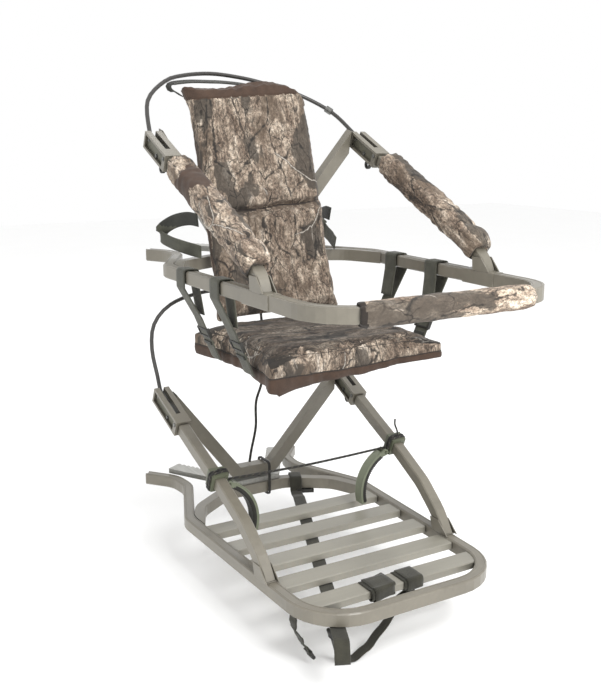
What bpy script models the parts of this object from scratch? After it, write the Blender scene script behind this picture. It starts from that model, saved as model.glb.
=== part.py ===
"""Climbing tree stand: a padded seat section and a foot platform that hang on a tree.

The design is laid out in inches: X across, Y back from the platform's front edge towards
the tree, Z up from the top face of the platform's frame. place() turns that layout into
metres, with the origin on the tree's axis at the top face of the seat section's frame.
"""

import math

import bmesh
import bpy
from mathutils import Matrix, Vector

INCH = 0.0254
GAP = 0.0003 / INCH  # clearance between touching pieces, in inches

# Both sections
TREE_Y = 34.5  # the tree's axis
SEAT_Z = 23.8  # top face of the seat section's frame above the platform's
TUBE_W = 1.0
TUBE_H = 1.1
CORNER_STEP = math.radians(11)
BOW_Y = 27.7  # centre line of the rear bow's cross run
HUB_RISE = 1.28  # centre line of that run above the frame
BRACE_W = 1.25
BRACE_D = 1.0
BRACE_Y = 28.5
YOKE_H = 0.5
YOKE_W = 1.5
YOKE_BASE = 2.15
TOOTH_PITCH = 0.55
TOOTH_DEPTH = 0.2
BRACKET_W = 1.5
BRACKET_D = 1.5
SLOT_W = 0.46
PIN_ALONG = 2.2  # latch pin's place in its bracket
PIN_DOWN = -0.34
PIN_R = 0.12
PIN_LENGTH = 1.0
CABLE_R = 0.19
CABLE_RISE = 0.22  # cable's centre line above the bracket's

# Frames: half width at REAR_Y, taper of each side towards the front, front edge, arm ends
REAR_Y = 22.0
BEND_Y = 22.9
# Uprights: half width at the front edge and lean outwards towards the tree
PLATFORM = {
    "half": 9.95, "taper": 0.035, "front": 0.0, "z": 0.0,
    "arm": ((6.3, 30.6), (6.6, 33.3), (8.7, 35.85)),
    "corner": 4.3, "upright_x": 8.68, "lean": 0.042, "hub": 2.0,
    "bracket": 5.3, "brace_lean": 0.13, "bend": 5.0,
}
SEAT = {
    "half": 11.28, "taper": 0.026, "front": -3.0, "z": SEAT_Z,
    "arm": ((6.9, 30.0), (7.1, 32.2), (8.25, 34.3)),
    "corner": 3.9, "upright_x": 10.3, "lean": 0.014, "hub": 3.3,
    "bracket": 4.8, "brace_lean": 0.22, "bend": 2.0,
}
BEND_RADIUS = 3.0
JOINT_Y = 5.6  # where the seat section's front bow meets its rails

# Platform
SLAT_W = 2.0
SLAT_H = 0.65
SLAT_DROP = 0.12
SLAT_ROWS = (19.5, 15.45, 11.4, 7.45)
FRONT_SLAT = (3.55, 1.9)  # centre and width of the slat behind the front edge
FOOT_LEAN = [(7.7, -0.9), (9.4, 1.5), (12.0, 3.5), (16.0, 5.45), (20.4, 7.25), (23.4, 8.55)]
PLATFORM_BRACKET_ANGLE = math.radians(24)
STIRRUP_Y = 17.0
STIRRUP_W = 1.0
STIRRUP_T = 0.45
STIRRUP_CENTRE = (9.6, 1.5)
STIRRUP_R = 3.9
STIRRUP_ARC = (math.radians(110.2), math.radians(196))
STIRRUP_PIN_R = 0.11

# Seat section
SEAT_FOOT = [(5.5, -0.9), (6.3, 0.75), (7.9, 2.1), (21.6, 8.6)]
SEAT_BRACKET_ANGLE = math.radians(25)
ARM_PAD = (0.3, 13.8)  # start along the upright's straight part, and length
ARM_PAD_W = 2.2
ARM_PAD_H = 2.2
ARM_PAD_RISE = 0.35  # more foam above the upright than below it
FRONT_PAD_HALF = 6.85
FRONT_PAD_W = 1.85
FRONT_PAD_H = 1.8

# Seat
CUSHION = ((-8.0, 9.0, 15.5), (8.0, 23.2, 18.3))
HINGE = (22.0, 19.17)  # backrest's fold line, Y and Z
BACKREST_LINE = [HINGE, (24.1, 24.0), (25.1, 28.4), (26.9, 33.5), (28.67, 39.25)]
BACKREST_T = 1.6
BACKREST_HALF = 6.4
STRAP_T = 0.09
STRAP_W = 1.7
STRAP_ROWS = (12.6, 18.9)
STRAP_CLEAR = 0.12
BUCKLE = (2.0, 0.9, 0.3)  # across, along and through the strap
TOP_STRAP_Z = 39.1
STOP_AT = (9.3, 29.5, 37.45)  # on the seat section's cable

COLLECTION = "climbing_tree_stand"


def clear_scene():
    for thing in list(bpy.data.objects):
        bpy.data.objects.remove(thing, do_unlink=True)


def new_collection(name):
    group = bpy.data.collections.new(name)
    bpy.context.scene.collection.children.link(group)
    return group


def material(name, colour, roughness, metallic=0.0):
    made = bpy.data.materials.new(name)
    made.use_nodes = True
    shader = made.node_tree.nodes["Principled BSDF"]
    shader.inputs["Base Color"].default_value = (*colour, 1.0)
    shader.inputs["Roughness"].default_value = roughness
    shader.inputs["Metallic"].default_value = metallic
    return made


def place(x, y, z):
    """A layout point in inches, as the model's own point in metres."""
    return Vector((x, y - TREE_Y, z - SEAT_Z)) * INCH


def frame_matrix(origin, along, up):
    """Local X runs along, local Y runs up, local Z is what is left of a right-handed set."""
    along = Vector(along).normalized()
    up = Vector(up).normalized()
    across = along.cross(up)
    turn = Matrix((along, up, across)).transposed().to_4x4()
    return Matrix.Translation(place(*origin)) @ turn


def plan_frame(z):
    return frame_matrix((0, 0, z), (1, 0, 0), (0, 1, 0))


def front_frame(y):
    """Local X is across and local Y is up; local Z points to the front."""
    return frame_matrix((0, y, 0), (1, 0, 0), (0, 0, 1))


def side_frame(x, lean=0.0):
    """Local X runs back, with that much lean in X, and local Y is up."""
    return frame_matrix((x, 0, 0), (lean, 1, 0), (0, 0, 1))


def rounded(points, radius, square=None):
    """The points with each corner made an arc, of its own radius for the square ones."""
    out = [Vector(points[0])]
    for before, corner, after in zip(points, points[1:], points[2:]):
        corner = Vector(corner)
        back = Vector(before) - corner
        on = Vector(after) - corner
        turn = math.pi - back.angle(on)
        wide = square if square and turn > math.radians(75) else radius
        reach = min(wide * math.tan(turn / 2), 0.49 * back.length, 0.49 * on.length)
        if turn < math.radians(2):
            out.append(corner)
            continue
        start = corner + back.normalized() * reach
        inward = (back.normalized() + on.normalized()).normalized()
        centre = corner + inward * (reach / math.sin(turn / 2))
        spoke = start - centre
        way = 1 if back.x * on.y - back.y * on.x < 0 else -1
        steps = max(2, math.ceil(turn / CORNER_STEP))
        for i in range(steps + 1):
            swing = Matrix.Rotation(way * turn * i / steps, 2)
            out.append(centre + swing @ spoke)
    out.append(Vector(points[-1]))
    return out


def meet(point, direction, line):
    """Where the line through point meets the cutting line, given as (point, direction)."""
    base, run = Vector(line[0]), Vector(line[1])
    cross = direction.x * run.y - direction.y * run.x
    gap = base - point
    return point + direction * ((gap.x * run.y - gap.y * run.x) / cross)


def side_line(path, shift, start_on=None, end_on=None):
    """The path moved sideways by shift, its two ends cut on the given lines."""
    moved = []
    for i, point in enumerate(path):
        before = (point - path[i - 1]).normalized() if i else None
        after = (path[i + 1] - point).normalized() if i + 1 < len(path) else None
        if before is None or after is None:
            run = before or after
            moved.append(point + Vector((-run.y, run.x)) * shift)
            continue
        run = (before + after).normalized()
        grow = shift / max(0.3, run.dot(after))
        moved.append(point + Vector((-run.y, run.x)) * grow)
    if start_on:
        moved[0] = meet(moved[0], (path[1] - path[0]).normalized(), start_on)
    if end_on:
        moved[-1] = meet(moved[-1], (path[-1] - path[-2]).normalized(), end_on)
    return moved


def band(path, width, start_on=None, end_on=None):
    """Closed outline of a strip of that width along the path."""
    path = [Vector(p) for p in path]
    left = side_line(path, width / 2, start_on, end_on)
    right = side_line(path, -width / 2, start_on, end_on)
    return left + right[::-1]


def circle(x, y, radius, count=16):
    turns = [2 * math.pi * i / count for i in range(count)]
    return [Vector((x + radius * math.cos(a), y + radius * math.sin(a))) for a in turns]


def rectangle(width, height, corner=0.0, x=0.0, y=0.0):
    half_w, half_h = width / 2, height / 2
    if not corner:
        sides = ((1, 1), (-1, 1), (-1, -1), (1, -1))
        return [Vector((x + a * half_w, y + b * half_h)) for a, b in sides]
    out = []
    for i, (a, b) in enumerate(((1, 1), (-1, 1), (-1, -1), (1, -1))):
        for k in range(4):
            turn = math.pi / 2 * (i + k / 3)
            out.append(
                Vector((
                    x + a * (half_w - corner) + corner * math.cos(turn),
                    y + b * (half_h - corner) + corner * math.sin(turn),
                ))
            )
    return out


class Builder:
    """Makes the named parts, each from an outline, a tube or a primitive."""

    def __init__(self):
        self.parts = new_collection(COLLECTION)
        self.cutters = new_collection("cutters")

    def outline_mesh(self, name, outlines, thickness, bevel=0.0):
        """A flat outline, with holes, given its thickness about its plane. Inches."""
        curve = bpy.data.curves.new(name, "CURVE")
        curve.dimensions = "2D"
        curve.fill_mode = "BOTH"
        curve.extrude = thickness * INCH / 2
        for points in outlines:
            spline = curve.splines.new("POLY")
            spline.points.add(len(points) - 1)
            for slot, point in zip(spline.points, points):
                slot.co = (point.x * INCH, point.y * INCH, 0.0, 1.0)
            spline.use_cyclic_u = True
        guide = bpy.data.objects.new(name + "_outline", curve)
        self.parts.objects.link(guide)
        bpy.context.view_layer.update()
        graph = bpy.context.evaluated_depsgraph_get()
        mesh = bpy.data.meshes.new_from_object(guide.evaluated_get(graph))
        bpy.data.objects.remove(guide, do_unlink=True)
        work = bmesh.new()
        work.from_mesh(mesh)
        bmesh.ops.remove_doubles(work, verts=work.verts, dist=0.000005)
        bmesh.ops.recalc_face_normals(work, faces=work.faces)
        if bevel:
            sharp = [
                e for e in work.edges
                if len(e.link_faces) == 2 and e.calc_face_angle() > math.radians(35)
            ]
            bmesh.ops.bevel(
                work, geom=sharp, offset=bevel * INCH, segments=1, affect="EDGES",
                clamp_overlap=True,
            )
        work.to_mesh(mesh)
        work.free()
        mesh.name = name
        return mesh

    def add(self, name, mesh, matrix, look, group=None):
        part = bpy.data.objects.new(name, mesh)
        (group or self.parts).objects.link(part)
        part.matrix_world = matrix
        mesh.materials.clear()
        if look:
            mesh.materials.append(look)
        return part

    def flat(self, name, outlines, thickness, matrix, look, bevel=0.0):
        if isinstance(outlines[0], Vector):
            outlines = [outlines]
        mesh = self.outline_mesh(name, outlines, thickness, bevel)
        return self.add(name, mesh, matrix, look)

    def cutter(self, name, mesh, matrix):
        tool = self.add(name, mesh, matrix, None, self.cutters)
        tool.hide_render = True
        tool.display_type = "WIRE"
        return tool

    def block(self, name, low, high):
        """A box mesh between two local corners, in inches."""
        work = bmesh.new()
        bmesh.ops.create_cube(work, size=1.0)
        for vert in work.verts:
            for axis in range(3):
                end = high[axis] if vert.co[axis] > 0 else low[axis]
                vert.co[axis] = end * INCH
        mesh = bpy.data.meshes.new(name)
        work.to_mesh(mesh)
        work.free()
        return mesh

    def rod(self, name, radius, length, axis="X", segments=16):
        """A cylinder mesh about the local origin, in inches."""
        work = bmesh.new()
        bmesh.ops.create_cone(
            work, cap_ends=True, segments=segments, radius1=radius * INCH,
            radius2=radius * INCH, depth=length * INCH,
        )
        turn = {"X": Matrix.Rotation(math.pi / 2, 4, "Y"),
                "Y": Matrix.Rotation(math.pi / 2, 4, "X"), "Z": Matrix()}[axis]
        bmesh.ops.transform(work, matrix=turn, verts=work.verts)
        mesh = bpy.data.meshes.new(name)
        work.to_mesh(mesh)
        work.free()
        return mesh

    def boolean(self, part, tool, operation="DIFFERENCE"):
        step = part.modifiers.new(tool.name, "BOOLEAN")
        step.object = tool
        step.operation = operation
        step.solver = "EXACT"

    def wire(self, name, route, radius, look, resolution=2):
        """A round cord along a smooth curve through the route's points."""
        curve = bpy.data.curves.new(name, "CURVE")
        curve.dimensions = "3D"
        curve.bevel_depth = radius * INCH
        curve.bevel_resolution = resolution
        curve.use_fill_caps = True
        spline = curve.splines.new("POLY")
        spline.points.add(len(route) - 1)
        for slot, point in zip(spline.points, route):
            slot.co = (*place(*point), 1.0)
        part = bpy.data.objects.new(name, curve)
        self.parts.objects.link(part)
        curve.materials.append(look)
        return part


def smooth_route(points, step):
    """Points about step apart on a smooth curve through the given ones."""
    points = [Vector(p) for p in points]
    ends = [2 * points[0] - points[1]] + points + [2 * points[-1] - points[-2]]
    out = [points[0]]
    for a, b, c, d in zip(ends, ends[1:], ends[2:], ends[3:]):
        count = max(1, round((c - b).length / step))
        for i in range(1, count + 1):
            t = i / count
            out.append(
                0.5 * (2 * b + (c - a) * t + (2 * a - 5 * b + 4 * c - d) * t * t
                       + (3 * b - a - 3 * c + d) * t ** 3)
            )
    return out


def both_sides(half_route):
    """A route given from its left end to its middle, carried on to the right end."""
    return list(half_route) + [(-x, y, z) for x, y, z in half_route[-2::-1]]


def rail_x(section, y, shift=0.0):
    """Half width of a section's side rail at y, moved in by shift from its outer face."""
    return section["half"] - section["taper"] * (REAR_Y - y) - shift


def upright_x(section, y):
    """Half width between the centre planes of a section's two uprights, at y."""
    return section["upright_x"] + section["lean"] * y


def rail_run(section):
    """Centre line of the right side of a frame, from the front corner to the arm's end."""
    middle = TUBE_W / 2
    return [
        (rail_x(section, section["front"] + middle, middle), section["front"] + middle),
        (rail_x(section, BEND_Y, middle), BEND_Y),
        *section["arm"],
    ]


def tube_plan(build, name, path, section, look, start_on=None, end_on=None):
    """A level tube of the frame's size, its top face at the section's level."""
    outline = band(path, TUBE_W, start_on, end_on)
    middle = section["z"] - TUBE_H / 2
    return build.flat(name, outline, TUBE_H, plan_frame(middle), look, bevel=0.11)


def mirrored(points):
    return [(-x, y) for x, y in points]


def frame_path(section):
    """Centre line of a section's frame, from one arm's end round to the other's."""
    right = rail_run(section)
    return rounded(mirrored(right)[::-1] + right, BEND_RADIUS, section["corner"])


def frame_cutter(build, name, section, extra=2.0):
    """The frame's own tube, a clearance wider and well taller, as a cutter."""
    tube = build.outline_mesh(name, [band(frame_path(section), TUBE_W + 2 * GAP)],
                              TUBE_H + extra)
    return build.cutter(name, tube, plan_frame(section["z"] - TUBE_H / 2))


def platform_frame(build, look):
    tube_plan(build, "platform_frame", frame_path(PLATFORM), PLATFORM, look)


def seat_frame(build, look):
    corner, *rest = rail_run(SEAT)
    joint = (rail_x(SEAT, JOINT_Y, TUBE_W / 2), JOINT_Y)
    front_end = (rail_x(SEAT, JOINT_Y - GAP, TUBE_W / 2), JOINT_Y - GAP)
    bow = [(-front_end[0], front_end[1]), (-corner[0], corner[1]), corner, front_end]
    tube_plan(build, "seat_front_bow", rounded(bow, SEAT["corner"]), SEAT, look)
    for side, name in ((-1, "left"), (1, "right")):
        run = [(side * x, y) for x, y in (joint, *rest)]
        tube_plan(build, f"seat_rail_{name}", rounded(run, BEND_RADIUS), SEAT, look)


def rear_bow(build, name, section, look):
    """Arched tube across the back, its ends fitted to the rails' inner faces."""
    inner = rail_x(section, REAR_Y, TUBE_W)
    right = [(3.4, BOW_Y), (inner - 1.45, 24.9), (inner + 0.35, 21.0)]
    path = rounded(mirrored(right)[::-1] + right, 3.2)
    bow = tube_plan(build, name, path, section, look)
    build.boolean(bow, frame_cutter(build, name + "_ends", section))


def toothed_side(start, end):
    """A saw-toothed line from start to end, its teeth to the left of it."""
    start, end = Vector(start), Vector(end)
    run = end - start
    side = Vector((-run.y, run.x)).normalized() * TOOTH_DEPTH
    count = int(run.length / TOOTH_PITCH)
    out = []
    for i in range(count):
        root = start + run * (i / count)
        out.append(root)
        out.append(root + side + run * (0.2 / count))
        out.append(root + side + run * (0.6 / count))
    return out + [end]


def yoke(build, name, section, look):
    """V plate that bears on the tree, with teeth along the inner edge of each leg."""
    tip = section["arm"][-1]
    leg = (tip[0] - 2.55, tip[1] - 0.9)
    run = [(-leg[0], leg[1]), (-YOKE_BASE, BOW_Y + 0.55), (YOKE_BASE, BOW_Y + 0.55), leg]
    path = [Vector(p) for p in run]
    inner = side_line(path, YOKE_W / 2)
    outer = side_line(path, -YOKE_W / 2)
    left = toothed_side(inner[0], inner[1])
    right = toothed_side(inner[2], inner[3])
    outline = left + right + outer[::-1]
    level = section["z"] + GAP + YOKE_H / 2
    build.flat(name, outline, YOKE_H, plan_frame(level), look)


def bracket_place(section, foot, side):
    """Frame of a bracket: local X across, local Y along it, local Z square to both."""
    angle = SEAT_BRACKET_ANGLE if section is SEAT else PLATFORM_BRACKET_ANGLE
    y, z = foot[-1]
    lean = side * section["lean"]
    along = Vector((lean * math.cos(angle), math.cos(angle), math.sin(angle))).normalized()
    across = Vector((1, -lean, 0)).normalized()
    up = across.cross(along)
    x = side * upright_x(section, y)
    turn = Matrix((across, along, up)).transposed().to_4x4()
    return Matrix.Translation(place(x, y, section["z"] + z)) @ turn


def brace(build, name, section, foot, look):
    """Bent bar from bracket to bracket, with a short level run over the rear bow."""
    angle = SEAT_BRACKET_ANGLE if section is SEAT else PLATFORM_BRACKET_ANGLE
    y, z = foot[-1]
    wall = upright_x(section, y + 1) - BRACKET_W / 2 - 0.06
    reach = BRACE_Y - section["brace_lean"] * z - y
    top = z + reach * math.tan(angle) - 0.3
    run = [(section["hub"], HUB_RISE), (wall, top)]
    run = rounded(mirrored(run)[::-1] + run, 0.9)
    outline = band(run, BRACE_W, ((-wall, 0), (0, 1)), ((wall, 0), (0, 1)))
    matrix = frame_matrix((0, BRACE_Y, section["z"]), (1, 0, 0), (0, -section["brace_lean"], 1))
    build.flat(name, outline, BRACE_D, matrix, look, bevel=0.12)


def upright(build, name, section, foot, side, look):
    """Side tube from the rail's top face back up to its bracket."""
    lean = side * section["lean"]
    base = side * upright_x(section, 0)
    z = section["z"]
    run = [(y, z + h) for y, h in foot]
    sole = ((0, z + GAP), (1, 0))
    outline = band(rounded(run, section["bend"]), TUBE_H, sole)
    build.flat(name, outline, TUBE_W, side_frame(base, lean), look, bevel=0.1)


def bracket(build, label, section, foot, side, looks):
    """Fork that grips the cable's end, with its spring latch lever and the lever's pin."""
    matrix = bracket_place(section, foot, side)
    half_w, half_d = BRACKET_W / 2, BRACKET_D / 2
    name = f"{label}_bracket"
    length = section["bracket"]
    start = 0.02
    mesh = build.block(name, (-half_w, start, -half_d), (half_w, length, half_d))
    part = build.add(name, mesh, matrix, looks["frame"])
    slot = build.block(name, (-SLOT_W / 2, 1.3, -half_d - 0.1),
                       (SLOT_W / 2, length + 0.1, half_d + 0.1))
    build.boolean(part, build.cutter(name + "_slot", slot, matrix))
    for face in (-1, 1):
        near, far = face * (half_w - 0.27), face * (half_w + 0.1)
        pocket = build.block(name, (min(near, far), 0.6, -half_d + 0.22),
                             (max(near, far), length - 0.25, half_d - 0.22))
        tool = build.cutter(f"{name}_pocket_{'in' if face < 0 else 'out'}", pocket, matrix)
        build.boolean(part, tool)
    hole = build.rod(name, PIN_R + GAP, BRACKET_W + 0.5)
    at_pin = matrix @ Matrix.Translation(Vector((0, PIN_ALONG, PIN_DOWN)) * INCH)
    build.boolean(part, build.cutter(name + "_hole", hole, at_pin))
    pin = build.add(f"{label}_latch_pin", build.rod(name, PIN_R, PIN_LENGTH), at_pin,
                    looks["steel"])
    pin.data.name = pin.name
    # The lever's outline is drawn in the plane of its swing: X along the bracket, Y up.
    ring_at = Vector((-0.35, -1.0))
    plane = at_pin @ Matrix.Rotation(math.pi / 2, 4, "Z") @ Matrix.Rotation(math.pi / 2, 4, "X")
    eye = [Vector((0.27 * math.cos(a), 0.27 * math.sin(a)))
           for a in (math.radians(t) for t in range(-40, 201, 24))]
    loop = [ring_at + Vector((0.42 * math.cos(a), 0.42 * math.sin(a)))
            for a in (math.radians(t) for t in range(130, 411, 20))]
    hole_1 = circle(0, 0, PIN_R + 2 * GAP)
    hole_2 = circle(ring_at.x, ring_at.y, 0.25)
    build.flat(f"{label}_latch", [eye + loop, hole_1, hole_2], 0.3, plane, looks["dark"],
               bevel=0.03)


def cable(build, name, route, look):
    return build.wire(name, smooth_route(route, 0.75), CABLE_R, look)


def cable_entry(section, foot, along, side=-1):
    """A point on the cable's line through a bracket, in the layout's inches."""
    local = Vector((0, along, CABLE_RISE)) * INCH
    point = bracket_place(section, foot, side) @ local / INCH
    return (point.x, point.y + TREE_Y, point.z + SEAT_Z)


def slats(build, look):
    rows = [(y, SLAT_W) for y in SLAT_ROWS] + [FRONT_SLAT]
    for number, (y, width) in enumerate(rows[::-1], start=1):
        corners = []
        for side, edge in ((1, -1), (1, 1), (-1, 1), (-1, -1)):
            at = y + edge * width / 2
            corners.append(Vector((side * (rail_x(PLATFORM, at, TUBE_W) - GAP), at)))
        level = -SLAT_DROP - SLAT_H / 2
        slat = build.flat(f"slat_{number}", corners, SLAT_H, plan_frame(level), look,
                          bevel=0.07)
        if number == 1:
            tool = frame_cutter(build, "slat_1_ends", PLATFORM)
            build.boolean(slat, tool)


def stirrup(build, side, looks):
    """Curved foot bar hung from a clamp on the upright, on a pin along Y."""
    name = "left" if side < 0 else "right"
    cx, cz = STIRRUP_CENTRE
    first, last = STIRRUP_ARC
    pivot = (side * (cx + STIRRUP_R * math.cos(first)), cz + STIRRUP_R * math.sin(first))
    arc = []
    for i in range(13):
        turn = first + (last - first) * i / 12
        arc.append(Vector((side * (cx + STIRRUP_R * math.cos(turn)),
                           cz + STIRRUP_R * math.sin(turn))))
    far = side_line(arc, -side * STIRRUP_T / 2)
    near = side_line(arc, side * STIRRUP_T / 2)
    head = []
    for turn in range(85, -66, -25):
        reach = Vector((side * math.cos(math.radians(turn)), math.sin(math.radians(turn))))
        head.append(Vector(pivot) + reach * 0.3)
    outline = far[:0:-1] + head + near[1:]
    origin = front_frame(STIRRUP_Y)
    at_pivot = origin @ Matrix.Translation(Vector((*pivot, 0)) * INCH)
    moved = [p - Vector(pivot) for p in outline]
    foot_bar = build.flat(f"stirrup_{name}", moved, STIRRUP_W, at_pivot, looks["green"])
    gap_tool = build.cutter(f"stirrup_{name}_fork",
                            build.rod("fork", 0.46, 0.54, "Z"), at_pivot)
    build.boolean(foot_bar, gap_tool)
    pin_tool = build.cutter(f"stirrup_{name}_pin_hole",
                            build.rod("hole", STIRRUP_PIN_R + 2 * GAP, 2, "Z"), at_pivot)
    build.boolean(foot_bar, pin_tool)
    clamp(build, side, name, pivot, looks)


def clamp(build, side, name, pivot, looks):
    """Block round the upright, with a lug and the stirrup's pin."""
    y, z = 16.75, 5.8
    x = side * upright_x(PLATFORM, y)
    slope = math.atan2(FOOT_LEAN[4][1] - FOOT_LEAN[3][1], FOOT_LEAN[4][0] - FOOT_LEAN[3][0])
    centre = Matrix.Translation(place(x, y, z)) @ Matrix.Rotation(slope, 4, "X")
    part = build.add(f"stirrup_clamp_{name}",
                     build.block("clamp", (-0.74, -0.55, -0.85), (0.74, 0.55, 0.85)),
                     centre, looks["dark"])
    hollow = build.outline_mesh("hollow", [band(rounded(FOOT_LEAN, PLATFORM["bend"]), TUBE_H + 0.03)],
                                TUBE_W + 0.03)
    lean = side * PLATFORM["lean"]
    base = side * upright_x(PLATFORM, 0)
    lug_to = abs(pivot[0]) - 0.2
    face = abs(x) - 0.6
    lug_mesh = build.block("lug", (min(side * lug_to, side * face), -0.25, pivot[1] - 0.22),
                           (max(side * lug_to, side * face), 0.25, pivot[1] + 0.22))
    level = Matrix.Translation(place(0, STIRRUP_Y, 0))
    build.boolean(part, build.cutter(f"clamp_{name}_lug", lug_mesh, level), "UNION")
    pin_at = Matrix.Translation(place(pivot[0], STIRRUP_Y, pivot[1]))
    pin = build.cutter(f"clamp_{name}_pin", build.rod("pin", STIRRUP_PIN_R, 1.2, "Y"), pin_at)
    build.boolean(part, pin, "UNION")
    tool = build.cutter(f"clamp_{name}_hollow", hollow, side_frame(base, lean))
    build.boolean(part, tool)


def arm_pad(build, side, look):
    """Foam sleeve with a square hole, on the seat section's upright."""
    name = "left" if side < 0 else "right"
    (y0, z0), (y1, z1) = SEAT_FOOT[-2:]
    lean = side * SEAT["lean"]
    run = Vector((lean, 1, (z1 - z0) / (y1 - y0))).normalized()
    across = Vector((1, -lean, 0)).normalized()
    up = across.cross(run)
    foot = Vector((side * upright_x(SEAT, y0), y0, SEAT_Z + z0))
    start, length = ARM_PAD
    middle = foot + run * (start + length / 2)
    turn = Matrix((across, up, across.cross(up))).transposed().to_4x4()
    matrix = Matrix.Translation(place(*middle)) @ turn
    outer = rectangle(ARM_PAD_W, ARM_PAD_H, 0.7, 0, ARM_PAD_RISE)
    inner = rectangle(TUBE_W + 2 * GAP, TUBE_H + 2 * GAP)
    build.flat(f"arm_pad_{name}", [outer, inner], length, matrix, look)


def front_pad(build, look):
    y = SEAT["front"] + TUBE_W / 2
    matrix = frame_matrix((0, y, SEAT_Z - TUBE_H / 2), (0, 1, 0), (0, 0, 1))
    outer = rectangle(FRONT_PAD_W, FRONT_PAD_H, 0.55)
    inner = rectangle(TUBE_W + 2 * GAP, TUBE_H + 2 * GAP)
    pad = build.flat("front_bar_pad", [outer, inner], 2 * FRONT_PAD_HALF, matrix, look)
    build.boolean(pad, frame_cutter(build, "front_bar_pad_bend", SEAT, 2 * GAP))


def cushion(build, look):
    low, high = CUSHION
    part = build.add("seat_cushion", build.block("seat_cushion", low, high),
                     Matrix.Translation(place(0, 0, 0)), look)
    edge = part.modifiers.new("soft_edges", "BEVEL")
    edge.width = 0.35 * INCH
    edge.segments = 2
    return part


def backrest(build, look):
    """Padded panel that leans back, with a round lower edge about its fold line."""
    path = rounded(BACKREST_LINE, 12.0)
    left = side_line(path, BACKREST_T / 2)
    right = side_line(path, -BACKREST_T / 2)
    start = math.atan2(path[1].y - path[0].y, path[1].x - path[0].x)
    under = [path[0] + Vector((math.cos(a), math.sin(a))) * BACKREST_T / 2 for a in
             (start - math.pi / 2 - math.radians(t) for t in range(30, 151, 30))]
    hinge = Vector(HINGE)
    outline = [p - hinge for p in left[::-1] + under[::-1] + right]
    matrix = frame_matrix((0, *HINGE), (0, 1, 0), (0, 0, 1))
    build.flat("backrest", outline, 2 * BACKREST_HALF, matrix, look, bevel=0.3)


def seat_straps(build, looks):
    """Webbing loops over the rails with a ladder buckle on each."""
    for side, hand in ((-1, "left"), (1, "right")):
        for y, row in zip(STRAP_ROWS, ("front", "rear")):
            outer = rail_x(SEAT, y) + STRAP_CLEAR
            inner = rail_x(SEAT, y, TUBE_W) - STRAP_CLEAR
            top = SEAT_Z + STRAP_CLEAR
            knee = SEAT_Z - TUBE_H - 0.3
            buckle = (9.55, 19.1)
            path = [(8.1, 15.9), (8.25, 16.1), buckle, (buckle[0] + 0.25, 19.7),
                    (outer, knee), (outer, top), (inner, top), (inner, knee),
                    (buckle[0] + 0.05, 20.0)]
            run = [(side * x, z) for x, z in path]
            name = f"seat_strap_{row}_{hand}"
            build.flat(name, band(rounded(run, 0.25), STRAP_T), STRAP_W, front_frame(y),
                       looks["webbing"])
            across, along, through = BUCKLE
            slope = Vector((side * (buckle[0] - 8.25), buckle[1] - 16.1)).normalized()
            centre = Vector((side * buckle[0], buckle[1])) - slope * 0.75
            matrix = frame_matrix((centre.x, y, centre.y), (0, 1, 0),
                                  (slope.y, 0, -slope.x))
            ring = [rectangle(across, through, 0.08),
                    rectangle(STRAP_W + 0.08, STRAP_T + 0.08)]
            build.flat(f"seat_buckle_{row}_{hand}", ring, along, matrix, looks["dark"])


def side_straps(build, look):
    """Loop of webbing that stands out behind each edge of the backrest."""
    for side, hand in ((-1, "left"), (1, "right")):
        start = Vector((side * 7.05, 24.9, 27.4))
        fold = Vector((side * 8.3, 29.3, 25.6))
        end = Vector((side * 7.1, 24.1, 24.3))
        along = (fold - start).normalized()
        flank = (end - start) - along * (end - start).dot(along)
        matrix = frame_matrix(start, along, flank)
        reach = (fold - start).length
        back = ((end - start).dot(along), flank.length)
        run = [(0, 0), (reach, 0), (reach + 0.25, 0.6), (reach - 0.1, 1.2), back]
        build.flat(f"backrest_side_strap_{hand}", band(rounded(run, 0.5), STRAP_T), 1.3,
                   matrix, look)


def top_strap(build, look):
    run = [(-6.2, 29.95), (-6.35, 30.95), (-5.7, 31.8), (0, 32.0), (3.0, 31.45),
           (5.6, 30.85), (6.25, 30.4), (6.2, 29.9)]
    build.flat("backrest_top_strap", band(rounded(run, 0.8), STRAP_T), 1.0,
               plan_frame(TOP_STRAP_Z), look)


def cable_stop(build, route, look):
    """Swaged sleeve round the seat section's cable."""
    path = smooth_route(route, 0.75)
    index = min(range(len(path) - 1), key=lambda i: (path[i] - Vector(STOP_AT)).length)
    middle = (path[index] + path[index + 1]) / 2
    run = (path[index + 1] - path[index]).normalized()
    turn = run.to_track_quat("Z", "Y").to_matrix().to_4x4()
    matrix = Matrix.Translation(place(*middle)) @ turn
    ring = [circle(0, 0, 0.34, 16), circle(0, 0, CABLE_R + 0.035, 16)]
    build.flat("seat_cable_stop", ring, 0.7, matrix, look, bevel=0.05)


def cords(build, looks):
    tether = [(0.1, 27.7, 22.65), (0.45, 27.75, 20.0), (0.85, 27.65, 16.0),
              (0.8, 27.6, 11.1), (0.05, 27.6, 8.6), (0.08, 27.8, 5.9), (-0.3, 28.1, 3.4),
              (-0.45, 28.25, 2.12)]
    build.wire("tether_cord", smooth_route(tether, 0.45), 0.13, looks["cord"])
    clip = upright_x(PLATFORM, STIRRUP_Y) - 1.0
    z = 5.5
    bungee = [(-clip, STIRRUP_Y, z), (-4.0, STIRRUP_Y, z - 0.12), (0, STIRRUP_Y, z - 0.18),
              (4.0, STIRRUP_Y, z - 0.12), (clip, STIRRUP_Y, z)]
    build.wire("stirrup_bungee", smooth_route(bungee, 0.45), 0.11, looks["cord"])
    loop_y, loop_z = 28.1, 0.4
    ring = [rectangle(2.5, 3.6, 0.45, loop_y, loop_z),
            rectangle(2.2, 3.3, 0.3, loop_y, loop_z)]
    build.flat("hub_band", ring, 0.22, side_frame(1.15), looks["cord"])


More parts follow.
